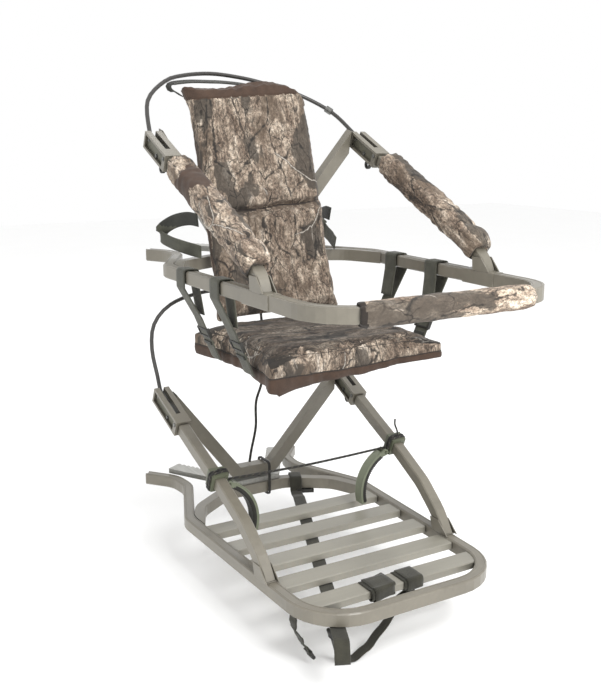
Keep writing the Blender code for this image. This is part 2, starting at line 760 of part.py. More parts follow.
def pack_straps(build, look):
    """Carrying straps: one from the rear bow under the slats, two that hang in front."""
    lean = -0.43
    base = (4.35, 27.3)
    level = -SLAT_DROP - SLAT_H - 0.12
    low = -TUBE_H - 0.12
    scale = math.sqrt(1 + lean * lean)
    loop_on_bow = [(0.95, -0.9), (0.95, 0.12), (-1.0, 0.12), (-1.0, low)]
    under_slats = [(-2.2, low), (-3.4, level), (-24.6, level), (-25.6, low), (-28.1, low),
                   (-28.6, -2.8)]
    run = loop_on_bow + [(u * scale, z) for u, z in under_slats]
    matrix = frame_matrix((*base, 0), (-lean, 1, 0), (0, 0, 1))
    build.flat("pack_strap", band(rounded(run, 0.4), STRAP_T), 1.2, matrix, look)
    loop = [(1.6, low), (0.3, low - 0.5), (-0.8, -3.4), (-2.9, -5.2), (-4.4, -5.95),
            (-5.6, -5.1), (-6.2, -3.0)]
    build.flat("pack_strap_loop", band(rounded(loop, 1.0), STRAP_T), 0.9,
               front_frame(3.1), look)
    tail = [(-9.0, low), (-8.85, -2.4), (-7.9, -4.2), (-7.35, -5.1)]
    build.flat("pack_strap_tail", band(rounded(tail, 1.0), STRAP_T), 0.9,
               front_frame(4.3), look)


def main():
    clear_scene()
    build = Builder()
    looks = {
        "frame": material("frame", (0.33, 0.31, 0.26), 0.5, 0.2),
        "slat": material("slat", (0.42, 0.40, 0.35), 0.5, 0.2),
        "teeth": material("teeth", (0.6, 0.6, 0.58), 0.4, 0.8),
        "steel": material("steel", (0.5, 0.5, 0.5), 0.35, 1.0),
        "dark": material("dark_plastic", (0.05, 0.05, 0.045), 0.5),
        "green": material("green_plastic", (0.25, 0.28, 0.19), 0.55),
        "camo": material("camo_cloth", (0.30, 0.23, 0.18), 0.9),
        "webbing": material("webbing", (0.12, 0.13, 0.09), 0.9),
        "cable": material("coated_cable", (0.06, 0.06, 0.058), 0.45),
        "cord": material("cord", (0.05, 0.05, 0.045), 0.8),
    }
    platform_frame(build, looks["frame"])
    seat_frame(build, looks["frame"])
    slats(build, looks["slat"])
    for label, section, foot in (("platform", PLATFORM, FOOT_LEAN), ("seat", SEAT, SEAT_FOOT)):
        rear_bow(build, f"{label}_rear_bow", section, looks["frame"])
        yoke(build, f"{label}_yoke", section, looks["teeth"])
        brace(build, f"{label}_brace", section, foot, looks["frame"])
        for side, hand in ((-1, "left"), (1, "right")):
            upright(build, f"{label}_upright_{hand}", section, foot, side, looks["frame"])
            bracket(build, f"{label}_{hand}", section, foot, side, looks)
    for side in (-1, 1):
        stirrup(build, side, looks)
        arm_pad(build, side, looks["camo"])
    front_pad(build, looks["camo"])
    cushion(build, looks["camo"])
    backrest(build, looks["camo"])
    seat_straps(build, looks)
    side_straps(build, looks["webbing"])
    top_strap(build, looks["webbing"])
    lower = [cable_entry(PLATFORM, FOOT_LEAN, 3.6), cable_entry(PLATFORM, FOOT_LEAN, 5.2),
             (-9.6, 29.6, 12.2), (-9.7, 30.5, 14.6), (-9.2, 31.0, 16.9),
             (-7.3, 31.4, 18.6), (-4.0, 31.9, 19.4), (0, 32.1, 19.5)]
    left, right = [[cable_entry(SEAT, SEAT_FOOT, along, side) for along in (3.6, 4.6, 5.4)]
                   for side in (-1, 1)]
    upper = left + [(-9.75, 29.1, 37.75), (-7.6, 30.3, 39.55), (-5.35, 31.2, 40.2),
                    (-2.3, 32.0, 40.5), (0.6, 32.2, 40.3), (3.4, 32.0, 39.8),
                    (7.0, 31.0, 38.7), (9.7, 29.1, 37.0)] + right[::-1]
    cable(build, "platform_cable", both_sides(lower), looks["cable"])
    cable(build, "seat_cable", upper, looks["cable"])
    cable_stop(build, upper, looks["steel"])
    cords(build, looks)
    pack_straps(build, looks["webbing"])


main()
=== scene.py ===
"""Looks of a climbing tree stand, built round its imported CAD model."""
from math import atan2, ceil, copysign, cos, exp, hypot, pi, radians, sin, sqrt, tan

import bmesh
import bpy
from mathutils import Matrix, Vector, noise
from mathutils.bvhtree import BVHTree


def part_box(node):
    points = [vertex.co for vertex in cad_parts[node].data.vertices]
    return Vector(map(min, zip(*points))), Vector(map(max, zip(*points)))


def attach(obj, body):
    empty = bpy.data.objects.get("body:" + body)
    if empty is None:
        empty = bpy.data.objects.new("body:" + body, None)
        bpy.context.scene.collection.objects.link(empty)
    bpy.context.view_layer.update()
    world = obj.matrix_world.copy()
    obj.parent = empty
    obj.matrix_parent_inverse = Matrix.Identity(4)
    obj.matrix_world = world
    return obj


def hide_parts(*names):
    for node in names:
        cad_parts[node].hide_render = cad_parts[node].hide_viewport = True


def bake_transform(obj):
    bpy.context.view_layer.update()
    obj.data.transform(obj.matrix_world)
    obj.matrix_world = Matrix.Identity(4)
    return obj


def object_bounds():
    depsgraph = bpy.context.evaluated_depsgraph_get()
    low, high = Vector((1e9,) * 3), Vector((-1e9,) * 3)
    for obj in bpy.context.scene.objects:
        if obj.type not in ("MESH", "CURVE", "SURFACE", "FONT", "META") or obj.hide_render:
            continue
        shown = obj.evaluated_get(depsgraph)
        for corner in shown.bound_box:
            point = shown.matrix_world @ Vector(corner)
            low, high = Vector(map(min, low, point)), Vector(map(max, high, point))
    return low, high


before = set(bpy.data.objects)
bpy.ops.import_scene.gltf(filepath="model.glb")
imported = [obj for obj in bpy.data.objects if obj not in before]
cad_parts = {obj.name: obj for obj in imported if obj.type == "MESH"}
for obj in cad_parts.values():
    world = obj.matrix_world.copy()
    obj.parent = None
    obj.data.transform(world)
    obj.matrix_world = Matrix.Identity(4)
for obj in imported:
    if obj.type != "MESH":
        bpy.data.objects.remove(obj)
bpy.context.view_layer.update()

# The layout is in inches: X across, Y back from the platform's front edge, Z up from its top face.
INCH = 0.0254
TREE_Y = 34.5
SEAT_Z = 23.8  # top face of the seat frame
GAP = 0.02  # between parts that touch in the real object
TUBE_W = 1.0
TUBE_H = 1.1
REAR_Y = 22.0
BEND_Y = 22.9
BEND_RADIUS = 3.0
CORNER_STEP = radians(10)
SHARP = radians(32)
# half: half width at the rear; taper: what it loses per inch forward; arm: the rear arm's
# points; upright_x and lean: an upright's place across; bracket: the bracket's length.
PLATFORM = {"half": 9.95, "taper": 0.035, "front": 0.0, "z": 0.0, "corner": 4.3,
            "arm": ((6.3, 30.6), (6.6, 33.3), (8.7, 35.85)), "upright_x": 8.68, "lean": 0.042,
            "bracket": 5.3}
SEAT = {"half": 11.28, "taper": 0.026, "front": -3.0, "z": SEAT_Z, "corner": 3.9,
        "arm": ((6.9, 30.0), (7.1, 32.2), (8.25, 34.3)), "upright_x": 10.3, "lean": 0.014,
        "bracket": 4.8}
# Middle lines of the uprights, as (y, z) above the frame's top face.
FOOT_LEAN = [(7.7, -0.9), (9.4, 1.5), (12.0, 3.5), (16.0, 5.45), (20.4, 7.25), (23.4, 8.55)]
SEAT_FOOT = [(5.5, -0.9), (6.3, 0.75), (7.9, 2.1), (21.6, 8.6)]
PLATFORM_BRACKET_ANGLE = radians(24)
SEAT_BRACKET_ANGLE = radians(25)
PIN_ALONG = 2.2
PIN_DOWN = -0.34
CABLE_R = 0.19
BUNGEE_R = 0.11
TETHER_R = 0.13
CABLE_RISE = 0.22
STIRRUP_Y = 17.0
STIRRUP_CENTRE = (9.6, 1.5)
STIRRUP_R = 3.9
STIRRUP_ARC = (radians(110.2), radians(196))
ARM_PAD = (0.3, 13.8)  # gap below the bracket, length on the straight
ARM_PAD_ROUND_BEND = 1.5
ARM_PAD_RISE = 0.35
FRONT_PAD_HALF = 6.85
FRONT_PAD_OVERHANG = 1.2
FRONT_PAD_SHIFT = -0.25
SLEEVE_SQUARENESS = 2.6  # power of the superellipse
CUSHION = ((-8.0, 9.0, 15.5), (8.0, 23.2, 18.3))
NEAR_CORNER, FAR_CORNER = radians(227), radians(313)  # of the skirt, seen from its middle
BACKREST_LINE = [(22.0, 19.17), (24.1, 24.0), (25.1, 28.4), (26.9, 33.5), (28.67, 39.25)]
CREASE_Z, CASING_Z = 28.25, 37.85
STRAP_T = 0.09
STRAP_W = 1.7
STRAP_ROWS = (12.6, 18.9)
STRAP_CLEAR = 0.12  # from a tube's face to the middle of the webbing round it
SLIDE_ROOM = 0.07  # the rails come nearer as the sling slides forward
SLAT_TOP, SLAT_BOTTOM = -0.12, -0.77
CARRY_LEAN = -0.43  # of the carrying strap under the platform, from the rear bow
CARRY_BOW = (4.35, 27.3)
CUFF_CLEAR = 0.07
CLAMP_Y, CLAMP_Z = 16.75, 5.8
SIDES = ((-1, "left"), (1, "right"))
# Section, foot of its uprights, body, word in the pieces' names.
SECTIONS = ((PLATFORM, FOOT_LEAN, "platform", "platform"),
            (SEAT, SEAT_FOOT, "seat_section", "seat"))


# ---------------------------------------------------------------- layout geometry

def place(x, y, z):
    """A layout point in inches, as the model's own point in metres."""
    return Vector((x, y - TREE_Y, z - SEAT_Z)) * INCH


def layout(co):
    """A point of the model in metres, as a layout point in inches."""
    return co / INCH + Vector((0, TREE_Y, SEAT_Z))


def basis(along, up):
    """Turn whose local X runs along, local Y up, and local Z square to both."""
    return Matrix((along, up, along.cross(up))).transposed().to_4x4()


def frame_matrix(origin, along, up):
    turn = basis(Vector(along).normalized(), Vector(up).normalized())
    return Matrix.Translation(place(*origin)) @ turn


def rail_x(section, y, shift=0.0):
    return section["half"] - section["taper"] * (REAR_Y - y) - shift


def upright_x(section, y):
    return section["upright_x"] + section["lean"] * y


def rounded(points, radius, square=None):
    """The points with each corner made an arc, of its own radius for the square ones."""
    out = [Vector(points[0])]
    for before, corner, after in zip(points, points[1:], points[2:]):
        corner = Vector(corner)
        back = Vector(before) - corner
        on = Vector(after) - corner
        turn = pi - back.angle(on)
        wide = square if square and turn > radians(75) else radius
        reach = min(wide * tan(turn / 2), 0.49 * back.length, 0.49 * on.length)
        if turn < radians(2):
            out.append(corner)
            continue
        start = corner + back.normalized() * reach
        inward = (back.normalized() + on.normalized()).normalized()
        centre = corner + inward * (reach / sin(turn / 2))
        spoke = start - centre
        way = 1 if back.x * on.y - back.y * on.x < 0 else -1
        steps = max(2, ceil(turn / CORNER_STEP))
        for i in range(steps + 1):
            out.append(centre + Matrix.Rotation(way * turn * i / steps, 2) @ spoke)
    out.append(Vector(points[-1]))
    return out


def smooth_route(points, step):
    """Points about step apart on a smooth curve through the given ones."""
    points = [Vector(p) for p in points]
    ends = [2 * points[0] - points[1]] + points + [2 * points[-1] - points[-2]]
    out = [points[0]]
    for a, b, c, d in zip(ends, ends[1:], ends[2:], ends[3:]):
        count = max(1, round((c - b).length / step))
        for i in range(1, count + 1):
            t = i / count
            out.append(
                0.5 * (2 * b + (c - a) * t + (2 * a - 5 * b + 4 * c - d) * t * t
                       + (3 * b - a - 3 * c + d) * t ** 3)
            )
    return out


def even(points, step):
    """The same line as points at most step apart."""
    out = [Vector(points[0])]
    for a, b in zip(points, points[1:]):
        a, b = Vector(a), Vector(b)
        count = max(1, ceil((b - a).length / step))
        out += [a.lerp(b, i / count) for i in range(1, count + 1)]
    return out


def bracket_place(section, foot, side):
    """Frame of a bracket: local X across, local Y along it, local Z square to both."""
    angle = SEAT_BRACKET_ANGLE if section is SEAT else PLATFORM_BRACKET_ANGLE
    y, z = foot[-1]
    lean = side * section["lean"]
    along = Vector((lean * cos(angle), cos(angle), sin(angle))).normalized()
    across = Vector((1, -lean, 0)).normalized()
    origin = place(side * upright_x(section, y), y, section["z"] + z)
    return Matrix.Translation(origin) @ basis(across, along)


def cable_entry(section, foot, along, side=-1):
    """A point on the cable's line through a bracket, in the layout's inches."""
    point = bracket_place(section, foot, side) @ (Vector((0, along, CABLE_RISE)) * INCH) / INCH
    return (point.x, point.y + TREE_Y, point.z + SEAT_Z)


def frame_path(section):
    """Centre line of a section's frame, from one arm's end round to the other's."""
    middle = TUBE_W / 2
    right = [(rail_x(section, section["front"] + middle, middle), section["front"] + middle),
             (rail_x(section, BEND_Y, middle), BEND_Y), *section["arm"]]
    left = [(-x, y) for x, y in right][::-1]
    return rounded(left + right, BEND_RADIUS, section["corner"])


# ---------------------------------------------------------------- materials

LIFT = 1.45  # how far the studio light raises a surface's own colour


def rgb(red, green, blue):
    """Linear colour of a surface that shows as this sRGB colour, 0 to 255, under the lights."""
    def linear(c):
        c /= 255
        return (c / 12.92 if c <= 0.04045 else ((c + 0.055) / 1.055) ** 2.4) / LIFT
    return (linear(red), linear(green), linear(blue), 1.0)


def shade(colour, factor):
    return tuple(min(1, c * factor) for c in colour[:3]) + (1.0,)


class Shader:
    """A node material put together in code."""

    def __init__(self, name, **sockets):
        self.material = bpy.data.materials.new(name)
        self.material.use_nodes = True
        self.tree = self.material.node_tree
        self.surface = self.tree.nodes["Principled BSDF"]
        self.set(**sockets)

    def set(self, **sockets):
        for key, value in sockets.items():
            self.feed(self.surface.inputs[key.replace("_", " ")], value)

    def feed(self, socket, value):
        if isinstance(value, bpy.types.NodeSocket):
            self.tree.links.new(value, socket)
        else:
            socket.default_value = value

    def add(self, kind, inputs=None, **settings):
        made = self.tree.nodes.new("ShaderNode" + kind)
        for key, value in settings.items():
            setattr(made, key, value)
        for key, value in (inputs or {}).items():
            self.feed(made.inputs[key], value)
        return made

    def place(self):
        return self.add("TexCoord").outputs["Object"]

    def run(self):
        """Metres round and along a swept piece."""
        found = self.add("Attribute", attribute_name="run_uv").outputs["Vector"]
        return self.add("SeparateXYZ", {0: found}).outputs

    def stretch(self, where, scale=(1, 1, 1), turn=(0, 0, 0)):
        return self.add("Mapping", {"Vector": where, "Scale": scale, "Rotation": turn}).outputs[0]

    def noise(self, where, scale, detail=2.0, rough=0.5, out="Fac"):
        made = self.add("TexNoise", {"Vector": where, "Scale": scale, "Detail": detail,
                                     "Roughness": rough})
        return made.outputs[out]

    def net(self, where, tall, scale, fray):
        """Distance from the lines between stretched cells, frayed by a (noise, share)."""
        made = self.add("TexVoronoi", {"Vector": self.stretch(where, (1, 1, tall)),
                                       "Scale": scale}, feature="DISTANCE_TO_EDGE")
        return self.plus(made.outputs["Distance"], self.times(*fray))

    def math(self, operation, *values):
        return self.add("Math", dict(enumerate(values)), operation=operation).outputs[0]

    def times(self, a, b):
        return self.math("MULTIPLY", a, b)

    def plus(self, a, b):
        return self.math("ADD", a, b)

    def sine(self, value, rate):
        return self.math("SINE", self.times(value, rate))

    def ramp(self, value, *stops):
        """Colours between (position, colour) stops; a bare number is a grey."""
        made = self.add("ValToRGB", {0: value})
        band = made.color_ramp
        while len(band.elements) < len(stops):
            band.elements.new(1.0)
        for element, (position, colour) in zip(band.elements, stops):
            element.position = position
            element.color = colour if isinstance(colour, tuple) else (colour,) * 3 + (1.0,)
        return made.outputs[0]

    def mix(self, share, a, b, blend="MIX"):
        made = self.add("Mix", data_type="RGBA", blend_type=blend)
        for index, value in ((0, share), (6, a), (7, b)):
            self.feed(made.inputs[index], value)
        return made.outputs[2]

    def warp(self, where, scale, amount):
        """The place, pushed about by a noise."""
        push = self.noise(where, scale, 3.0, out="Color")
        centred = self.add("VectorMath", {0: push, 1: (0.5, 0.5, 0.5)}, operation="SUBTRACT")
        sized = self.add("VectorMath", {0: centred.outputs[0], "Scale": amount},
                         operation="SCALE")
        return self.add("VectorMath", {0: where, 1: sized.outputs[0]}).outputs[0]

    def bump(self, height, strength, depth):
        made = self.add("Bump", {"Height": height, "Strength": strength, "Distance": depth})
        self.set(Normal=made.outputs[0])

    def worn_edges(self, radius=0.0014):
        """1 on sharp outer edges, broken up by a noise."""
        soft = self.add("Bevel", {"Radius": radius}, samples=4).outputs[0]
        true = self.add("NewGeometry").outputs["Normal"]
        same = self.add("VectorMath", {0: soft, 1: true}, operation="DOT_PRODUCT")
        edge = self.ramp(same.outputs["Value"], (0.80, 1.0), (0.97, 0.0))
        broken = self.ramp(self.noise(self.place(), 90, 4.0), (0.47, 0.0), (0.62, 1.0))
        return self.times(edge, broken)


def coated_metal(name, colour, worn, rough, streaks=(1, 1, 1)):
    """Powder coat with a fine grain, blotches, painted shade in its corners and rubbed edges."""
    s = Shader(name, Coat_Weight=0.12, Coat_Roughness=0.35)
    where = s.place()
    blotch = s.noise(where, 9, 4.0)
    drawn = s.noise(s.stretch(where, streaks), 60, 3.0)
    grain = s.noise(where, 1500, 2.0)
    tone = s.mix(s.ramp(blotch, (0.35, 0.0), (0.65, 1.0)), shade(colour, 0.93),
                 shade(colour, 1.07))
    tone = s.mix(0.16, tone, s.ramp(drawn, (0.3, 0.35), (0.7, 0.95)), "MULTIPLY")
    tone = s.mix(0.10, tone, s.ramp(grain, (0.35, 0.2), (0.65, 1.0)), "MULTIPLY")
    # Painted shade: an ambient occlusion term darkens the coat in corners and where parts meet.
    painted_corner_shade = s.add("AmbientOcclusion", {"Distance": 0.035}, samples=6).outputs["AO"]
    tone = s.mix(1.0, tone, s.ramp(painted_corner_shade, (0.25, 0.42), (0.85, 1.0)), "MULTIPLY")
    s.set(Base_Color=s.mix(s.times(s.worn_edges(), 0.8), tone, worn))
    s.set(Roughness=s.ramp(blotch, (0.3, rough - 0.06), (0.7, rough + 0.08)))
    s.bump(grain, 0.12, 0.0003)
    return s.material


def bare_metal(name, colour, rough, streaks):
    """Mill-finished metal with fine drawn lines and smudges."""
    s = Shader(name, Metallic=0.85)
    where = s.place()
    drawn = s.noise(s.stretch(where, streaks), 220, 4.0, 0.6)
    smudge = s.noise(where, 14, 4.0)
    s.set(Base_Color=s.mix(s.ramp(drawn, (0.25, 0.1), (0.75, 1.0)), shade(colour, 0.62),
                           colour),
          Roughness=s.ramp(smudge, (0.3, rough - 0.1), (0.7, rough + 0.14)))
    s.bump(drawn, 0.25, 0.0002)
    return s.material


def moulded(name, colour, rough, light=1.35):
    """Plastic with a fine spark-eroded grain and a paler bloom on its edges."""
    s = Shader(name)
    where = s.place()
    grain = s.noise(where, 900, 3.0)
    bloom = s.noise(where, 30, 3.0)
    tone = s.mix(s.ramp(bloom, (0.35, 0.0), (0.7, 1.0)), colour, shade(colour, light))
    s.set(Base_Color=s.mix(s.times(s.worn_edges(0.0009), 0.35), tone, rgb(150, 148, 138)),
          Roughness=s.ramp(grain, (0.3, rough - 0.08), (0.7, rough + 0.08)))
    s.bump(grain, 0.3, 0.0003)
    return s.material


def webbing(name, colour, dark):
    """Woven strap: ribs across it in a herringbone, faded in patches."""
    s = Shader(name, Roughness=0.88, Sheen_Weight=0.15, Sheen_Roughness=0.5)
    across, along, _ = s.run()
    chevron = s.math("ABSOLUTE", s.sine(across, 330.0))
    slant = s.plus(s.times(along, 2700.0), s.times(chevron, 3.2))
    rib = s.math("MULTIPLY_ADD", s.math("SINE", slant), 0.5, 0.5)
    yarn = s.math("MULTIPLY_ADD", s.sine(across, 5200.0), 0.3, 0.5)
    weave = s.times(rib, yarn)
    fade = s.noise(s.place(), 26, 4.0)
    tone = s.mix(s.ramp(weave, (0.1, 0.0), (0.5, 1.0)), dark, colour)
    s.set(Base_Color=s.mix(s.ramp(fade, (0.45, 0.0), (0.75, 0.7)), tone, shade(colour, 1.3)))
    s.bump(weave, 0.5, 0.0006)
    return s.material


def braid(name, colour, fleck):
    """Braided cord: two sets of strands that cross."""
    s = Shader(name, Roughness=0.75, Sheen_Weight=0.1)
    across, along, _ = s.run()
    along, across = s.times(along, 1500.0), s.times(across, 1500.0)
    left, right = s.plus(along, across), s.math("SUBTRACT", along, across)
    crossed = s.times(s.math("SINE", left), s.math("SINE", right))
    height = s.math("MULTIPLY_ADD", crossed, 0.5, 0.5)
    mask = s.math("GREATER_THAN", s.sine(left, 0.25), 0.72)
    s.set(Base_Color=s.mix(s.times(mask, 0.6), s.mix(height, shade(colour, 0.5), colour),
                           fleck))
    s.bump(height, 0.6, 0.0006)
    return s.material


def vinyl(name, colour):
    """Smooth coating over a wire rope, whose lay just shows."""
    s = Shader(name, Coat_Weight=0.25, Coat_Roughness=0.3)
    across, along, _ = s.run()
    lay = s.math("SINE", s.plus(s.times(along, 520.0), s.times(across, 700.0)))
    scuff = s.noise(s.place(), 120, 5.0, 0.7)
    s.set(Base_Color=s.mix(s.ramp(scuff, (0.52, 0.0), (0.72, 0.5)), colour,
                           shade(colour, 1.9)),
          Roughness=s.ramp(scuff, (0.3, 0.36), (0.7, 0.55)))
    s.bump(lay, 0.12, 0.0003)
    return s.material


def fabric_relief(s, where):
    """Height of a brushed cloth: a fine plain weave under a nap."""
    weft = s.add("TexWave", {"Vector": where, "Scale": 330.0}, bands_direction="X").outputs[1]
    warp = s.add("TexWave", {"Vector": where, "Scale": 330.0}, bands_direction="Z").outputs[1]
    return s.mix(0.55, s.times(weft, warp), s.noise(where, 700, 4.0, 0.7))


def plain_cloth(name, colour):
    """Brushed cloth of one colour, a little mottled."""
    s = Shader(name, Roughness=0.93, Sheen_Weight=0.10, Sheen_Roughness=0.5)
    where = s.place()
    mottle = s.noise(where, 45, 5.0, 0.65)
    fine = s.noise(where, 520, 3.0)
    tone = s.ramp(mottle, (0.3, shade(colour, 0.72)), (0.52, colour),
                  (0.75, shade(colour, 1.22)))
    s.set(Base_Color=s.mix(0.25, tone, s.ramp(fine, (0.3, 0.3), (0.7, 1.0)), "MULTIPLY"))
    s.bump(fabric_relief(s, where), 0.35, 0.0008)
    return s.material


def bark_cloth(name, turn=(0, 0, 0), scale=1.0, light=1.0):
    """Brushed cloth with a generic bark print: flaked plates, fine dark cracks, pale twigs."""
    s = Shader(name, Roughness=0.93, Sheen_Weight=0.06, Sheen_Roughness=0.5)
    where = s.stretch(s.place(), (scale,) * 3, turn)
    bent = s.warp(where, 22, 0.022)
    tall = s.stretch(bent, (1, 1, 0.30))
    flaky = s.stretch(s.warp(where, 130, 0.006), (1, 1, 0.6))
    tone = s.ramp(s.noise(tall, 30, 9.0, 0.72),
                  (0.36, rgb(84, 70, 58)), (0.44, rgb(122, 106, 92)),
                  (0.50, rgb(150, 134, 118)), (0.56, rgb(182, 166, 148)),
                  (0.63, rgb(214, 201, 185)))
    flake = s.ramp(s.noise(flaky, 210, 6.0, 0.8), (0.41, 0.42), (0.49, 0.95), (0.56, 1.85))
    tone = s.mix(0.9, tone, flake, "MULTIPLY")
    brown = s.ramp(s.noise(s.stretch(bent, (1, 1, 0.5)), 15, 4.0), (0.54, 0.0), (0.60, 0.75))
    grained = s.mix(0.5, rgb(112, 95, 79), s.ramp(s.noise(tall, 120, 4.0), (0.3, 0.6), (0.7, 1.1)),
                    "MULTIPLY")
    tone = s.mix(brown, tone, grained)
    ragged = s.plus(s.noise(s.stretch(bent, (1, 1, 0.4)), 13, 3.0),
                    s.times(s.noise(tall, 110, 3.0), 0.16))
    gloom = s.ramp(ragged, (0.495, 0.85), (0.525, 0.0))
    tone = s.mix(gloom, tone, rgb(78, 71, 63))
    there = s.ramp(s.noise(where, 17, 2.0), (0.44, 0.0), (0.56, 1.0))
    edge = s.net(bent, 0.24, 52, (s.noise(where, 160, 3.0), 0.05))
    crack = s.times(s.ramp(edge, (0.035, 0.85), (0.062, 0.0)), there)
    tone = s.mix(crack, tone, rgb(44, 38, 34))
    deep = s.net(bent, 0.34, 13, (s.noise(where, 70, 4.0), 0.10))
    tone = s.mix(s.ramp(deep, (0.052, 0.9), (0.072, 0.0)), tone, rgb(46, 42, 38))
    twig_line = s.net(s.warp(where, 9, 0.05), 0.6, 7, (s.noise(where, 220, 2.0), 0.024))
    twig_here = s.ramp(s.noise(where, 4.3, 1.0), (0.55, 0.0), (0.58, 1.0))
    shadow = s.times(s.ramp(twig_line, (0.020, 0.7), (0.032, 0.0)), twig_here)
    tone = s.mix(shadow, tone, rgb(70, 60, 52))
    twig = s.times(s.ramp(twig_line, (0.014, 1.0), (0.020, 0.0)), twig_here)
    tone = s.mix(twig, tone, rgb(208, 200, 188))
    # light scales the whole print; the darker and lighter copies made below use it as painted
    # shade and painted light.
    s.set(Base_Color=s.mix(1.0, tone, (light, light, light, 1.0), "MULTIPLY"))
    s.bump(fabric_relief(s, where), 0.3, 0.0008)
    return s.material


LOOKS = {
    "frame_metal": coated_metal("powder_coat", rgb(144, 138, 124), rgb(196, 191, 180), 0.34),
    "slat_metal": coated_metal("slat_coat", rgb(166, 162, 149), rgb(205, 201, 192), 0.36,
                               streaks=(0.03, 1, 1)),
    "yoke_metal": bare_metal("mill_aluminium", rgb(205, 204, 198), 0.42, (1, 0.06, 1)),
    "steel": bare_metal("zinc_steel", rgb(150, 150, 146), 0.34, (1, 1, 0.2)),
    "dark_plastic": moulded("dark_moulding", rgb(42, 41, 37), 0.5),
    "green_plastic": moulded("green_moulding", rgb(132, 138, 116), 0.52, 1.12),
    "webbing": webbing("olive_webbing", rgb(100, 100, 86), rgb(62, 62, 52)),
    "cord": braid("braided_cord", rgb(42, 40, 36), rgb(96, 92, 80)),
    "coated_cable": vinyl("cable_coating", rgb(62, 60, 57)),
    "camo_cloth": bark_cloth("bark_print", light=0.84),
}
# Darker webbing, also used as painted shade on the side straps' upper runs.
DARK_AND_SHADED_WEBBING = webbing("dark_and_shaded_webbing", rgb(58, 59, 51), rgb(34, 35, 30))
PACK_WEBBING = webbing("pack_webbing", rgb(66, 64, 51), rgb(38, 37, 29))
# Painted light: a lighter copy of the print, turned level, for the front bar's sleeve.
LIT_LEVEL_BARK = bark_cloth("bark_print_level_painted_light", (0, radians(90), 0), 1.0, 1.3)
# Painted shade: a much darker copy of the print for the cushion's top.
SHADED_TOP_BARK = bark_cloth("bark_print_top_painted_shade", (0, radians(90), radians(12)), 1.0, 0.36)
ARM_BARK = bark_cloth("bark_print_arm", (radians(60), 0, 0), 1.05)
BROWN = plain_cloth("brown_cloth", rgb(84, 64, 51))
# Dark hem cloth, also used as painted shade along the backrest's crease.
HEM_AND_CREASE_SHADE = plain_cloth("dark_hem_and_crease_shade", rgb(58, 50, 44))
CLAMP = moulded("clamp_moulding", rgb(104, 108, 88), 0.5, 1.15)
# Painted shade: a darker coat for plates laid in the brackets' side pockets, where shade falls.
SHADED = coated_metal("painted_pocket_shade", rgb(122, 120, 104), rgb(150, 146, 132), 0.6)


# ---------------------------------------------------------------- mesh tools

def add_piece(name, mesh, slot, body=None, looks=(), smooth=True, matrix=None):
    """The mesh as a piece of the model, in its slot's own material if no looks are given."""
    piece = bpy.data.objects.new(name, mesh)
    bpy.context.scene.collection.objects.link(piece)
    if matrix is not None:
        mesh.transform(matrix)
    for look in looks or [LOOKS[slot]]:
        mesh.materials.append(look)
    for face in mesh.polygons:
        face.use_smooth = smooth
    if body:
        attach(piece, body)
    return piece


def skin_mesh(name, rings, closed=False):
    """Faces over rings of points, with run_uv as metres round and along; ends capped."""
    count, size = len(rings), len(rings[0])
    vertices = [p for ring in rings for p in ring]
    round_at = [0.0]
    for i in range(size):
        round_at.append(round_at[-1] + (rings[0][(i + 1) % size] - rings[0][i]).length)
    along_at = [0.0]
    middles = [sum(ring, Vector()) / size for ring in rings]
    for a, b in zip(middles, middles[1:] + middles[:1]):
        along_at.append(along_at[-1] + (b - a).length)
    faces, coordinates = [], []
    for k in range(count if closed else count - 1):
        after = (k + 1) % count
        for i in range(size):
            j = (i + 1) % size
            faces.append((k * size + i, k * size + j, after * size + j, after * size + i))
            coordinates += [(round_at[i], along_at[k]), (round_at[i + 1], along_at[k]),
                            (round_at[i + 1], along_at[k + 1]), (round_at[i], along_at[k + 1])]
    if not closed:
        for k, order in ((0, range(size - 1, -1, -1)), (count - 1, range(size))):
            faces.append(tuple(k * size + i for i in order))
            coordinates += [(round_at[i], along_at[k]) for i in order]
    mesh = bpy.data.meshes.new(name)
    mesh.from_pydata(vertices, [], faces)
    run = mesh.attributes.new("run_uv", "FLOAT_VECTOR", "CORNER")
    run.data.foreach_set("vector", [c for u, v in coordinates for c in (u, v, 0.0)])
    mesh.update()
    return mesh


def tangents(path, closed):
    out = []
    for i in range(len(path)):
        before = path[i - 1] if i or closed else path[0]
        after = path[(i + 1) % len(path)] if closed or i + 1 < len(path) else path[-1]
        out.append((after - before).normalized())
    return out


def tube_mesh(name, path, radius, sides, closed=False, swell=None):
    """Round tube on a path in metres; swell gives a factor on the radius at each point."""
    runs = tangents(path, closed)
    side = runs[0].orthogonal().normalized()
    rings = []
    for i, (point, run) in enumerate(zip(path, runs)):
        side = (side - run * side.dot(run)).normalized()
        up = run.cross(side)
        wide = radius * (swell(i / (len(path) - 1)) if swell else 1.0)
        rings.append([point + (side * cos(a) + up * sin(a)) * wide
                      for a in (2 * pi * k / sides for k in range(sides))])
    return skin_mesh(name, rings, closed)


def strap_mesh(name, path, wide, width, thick, ripple=0.0, seed=0.0, closed=False):
    """Flat webbing on a path in metres; wide is the direction of its width."""
    wide_at = wide if callable(wide) else (lambda t: wide)
    half, rows = width / 2, 6
    outline = [(-half + thick * 0.3 + (width - thick * 0.6) * k / rows, thick / 2)
               for k in range(rows + 1)]
    outline = [(-half, 0.0)] + outline + [(half, 0.0)] + [(x, -y) for x, y in outline[::-1]]
    rings = []
    for i, (point, run) in enumerate(zip(path, tangents(path, closed))):
        share = i / max(1, len(path) - 1)
        across = Vector(wide_at(share))
        across = (across - run * across.dot(run)).normalized()
        normal = run.cross(across)
        lift = ripple * noise.noise(Vector((share * 9 + seed, seed, 0)))
        tilt = ripple * 0.6 * noise.noise(Vector((share * 7 - seed, 5 + seed, 0)))
        rings.append([point + across * x + normal * (y + lift + tilt * x / half)
                      for x, y in outline])
    return skin_mesh(name, rings, closed)


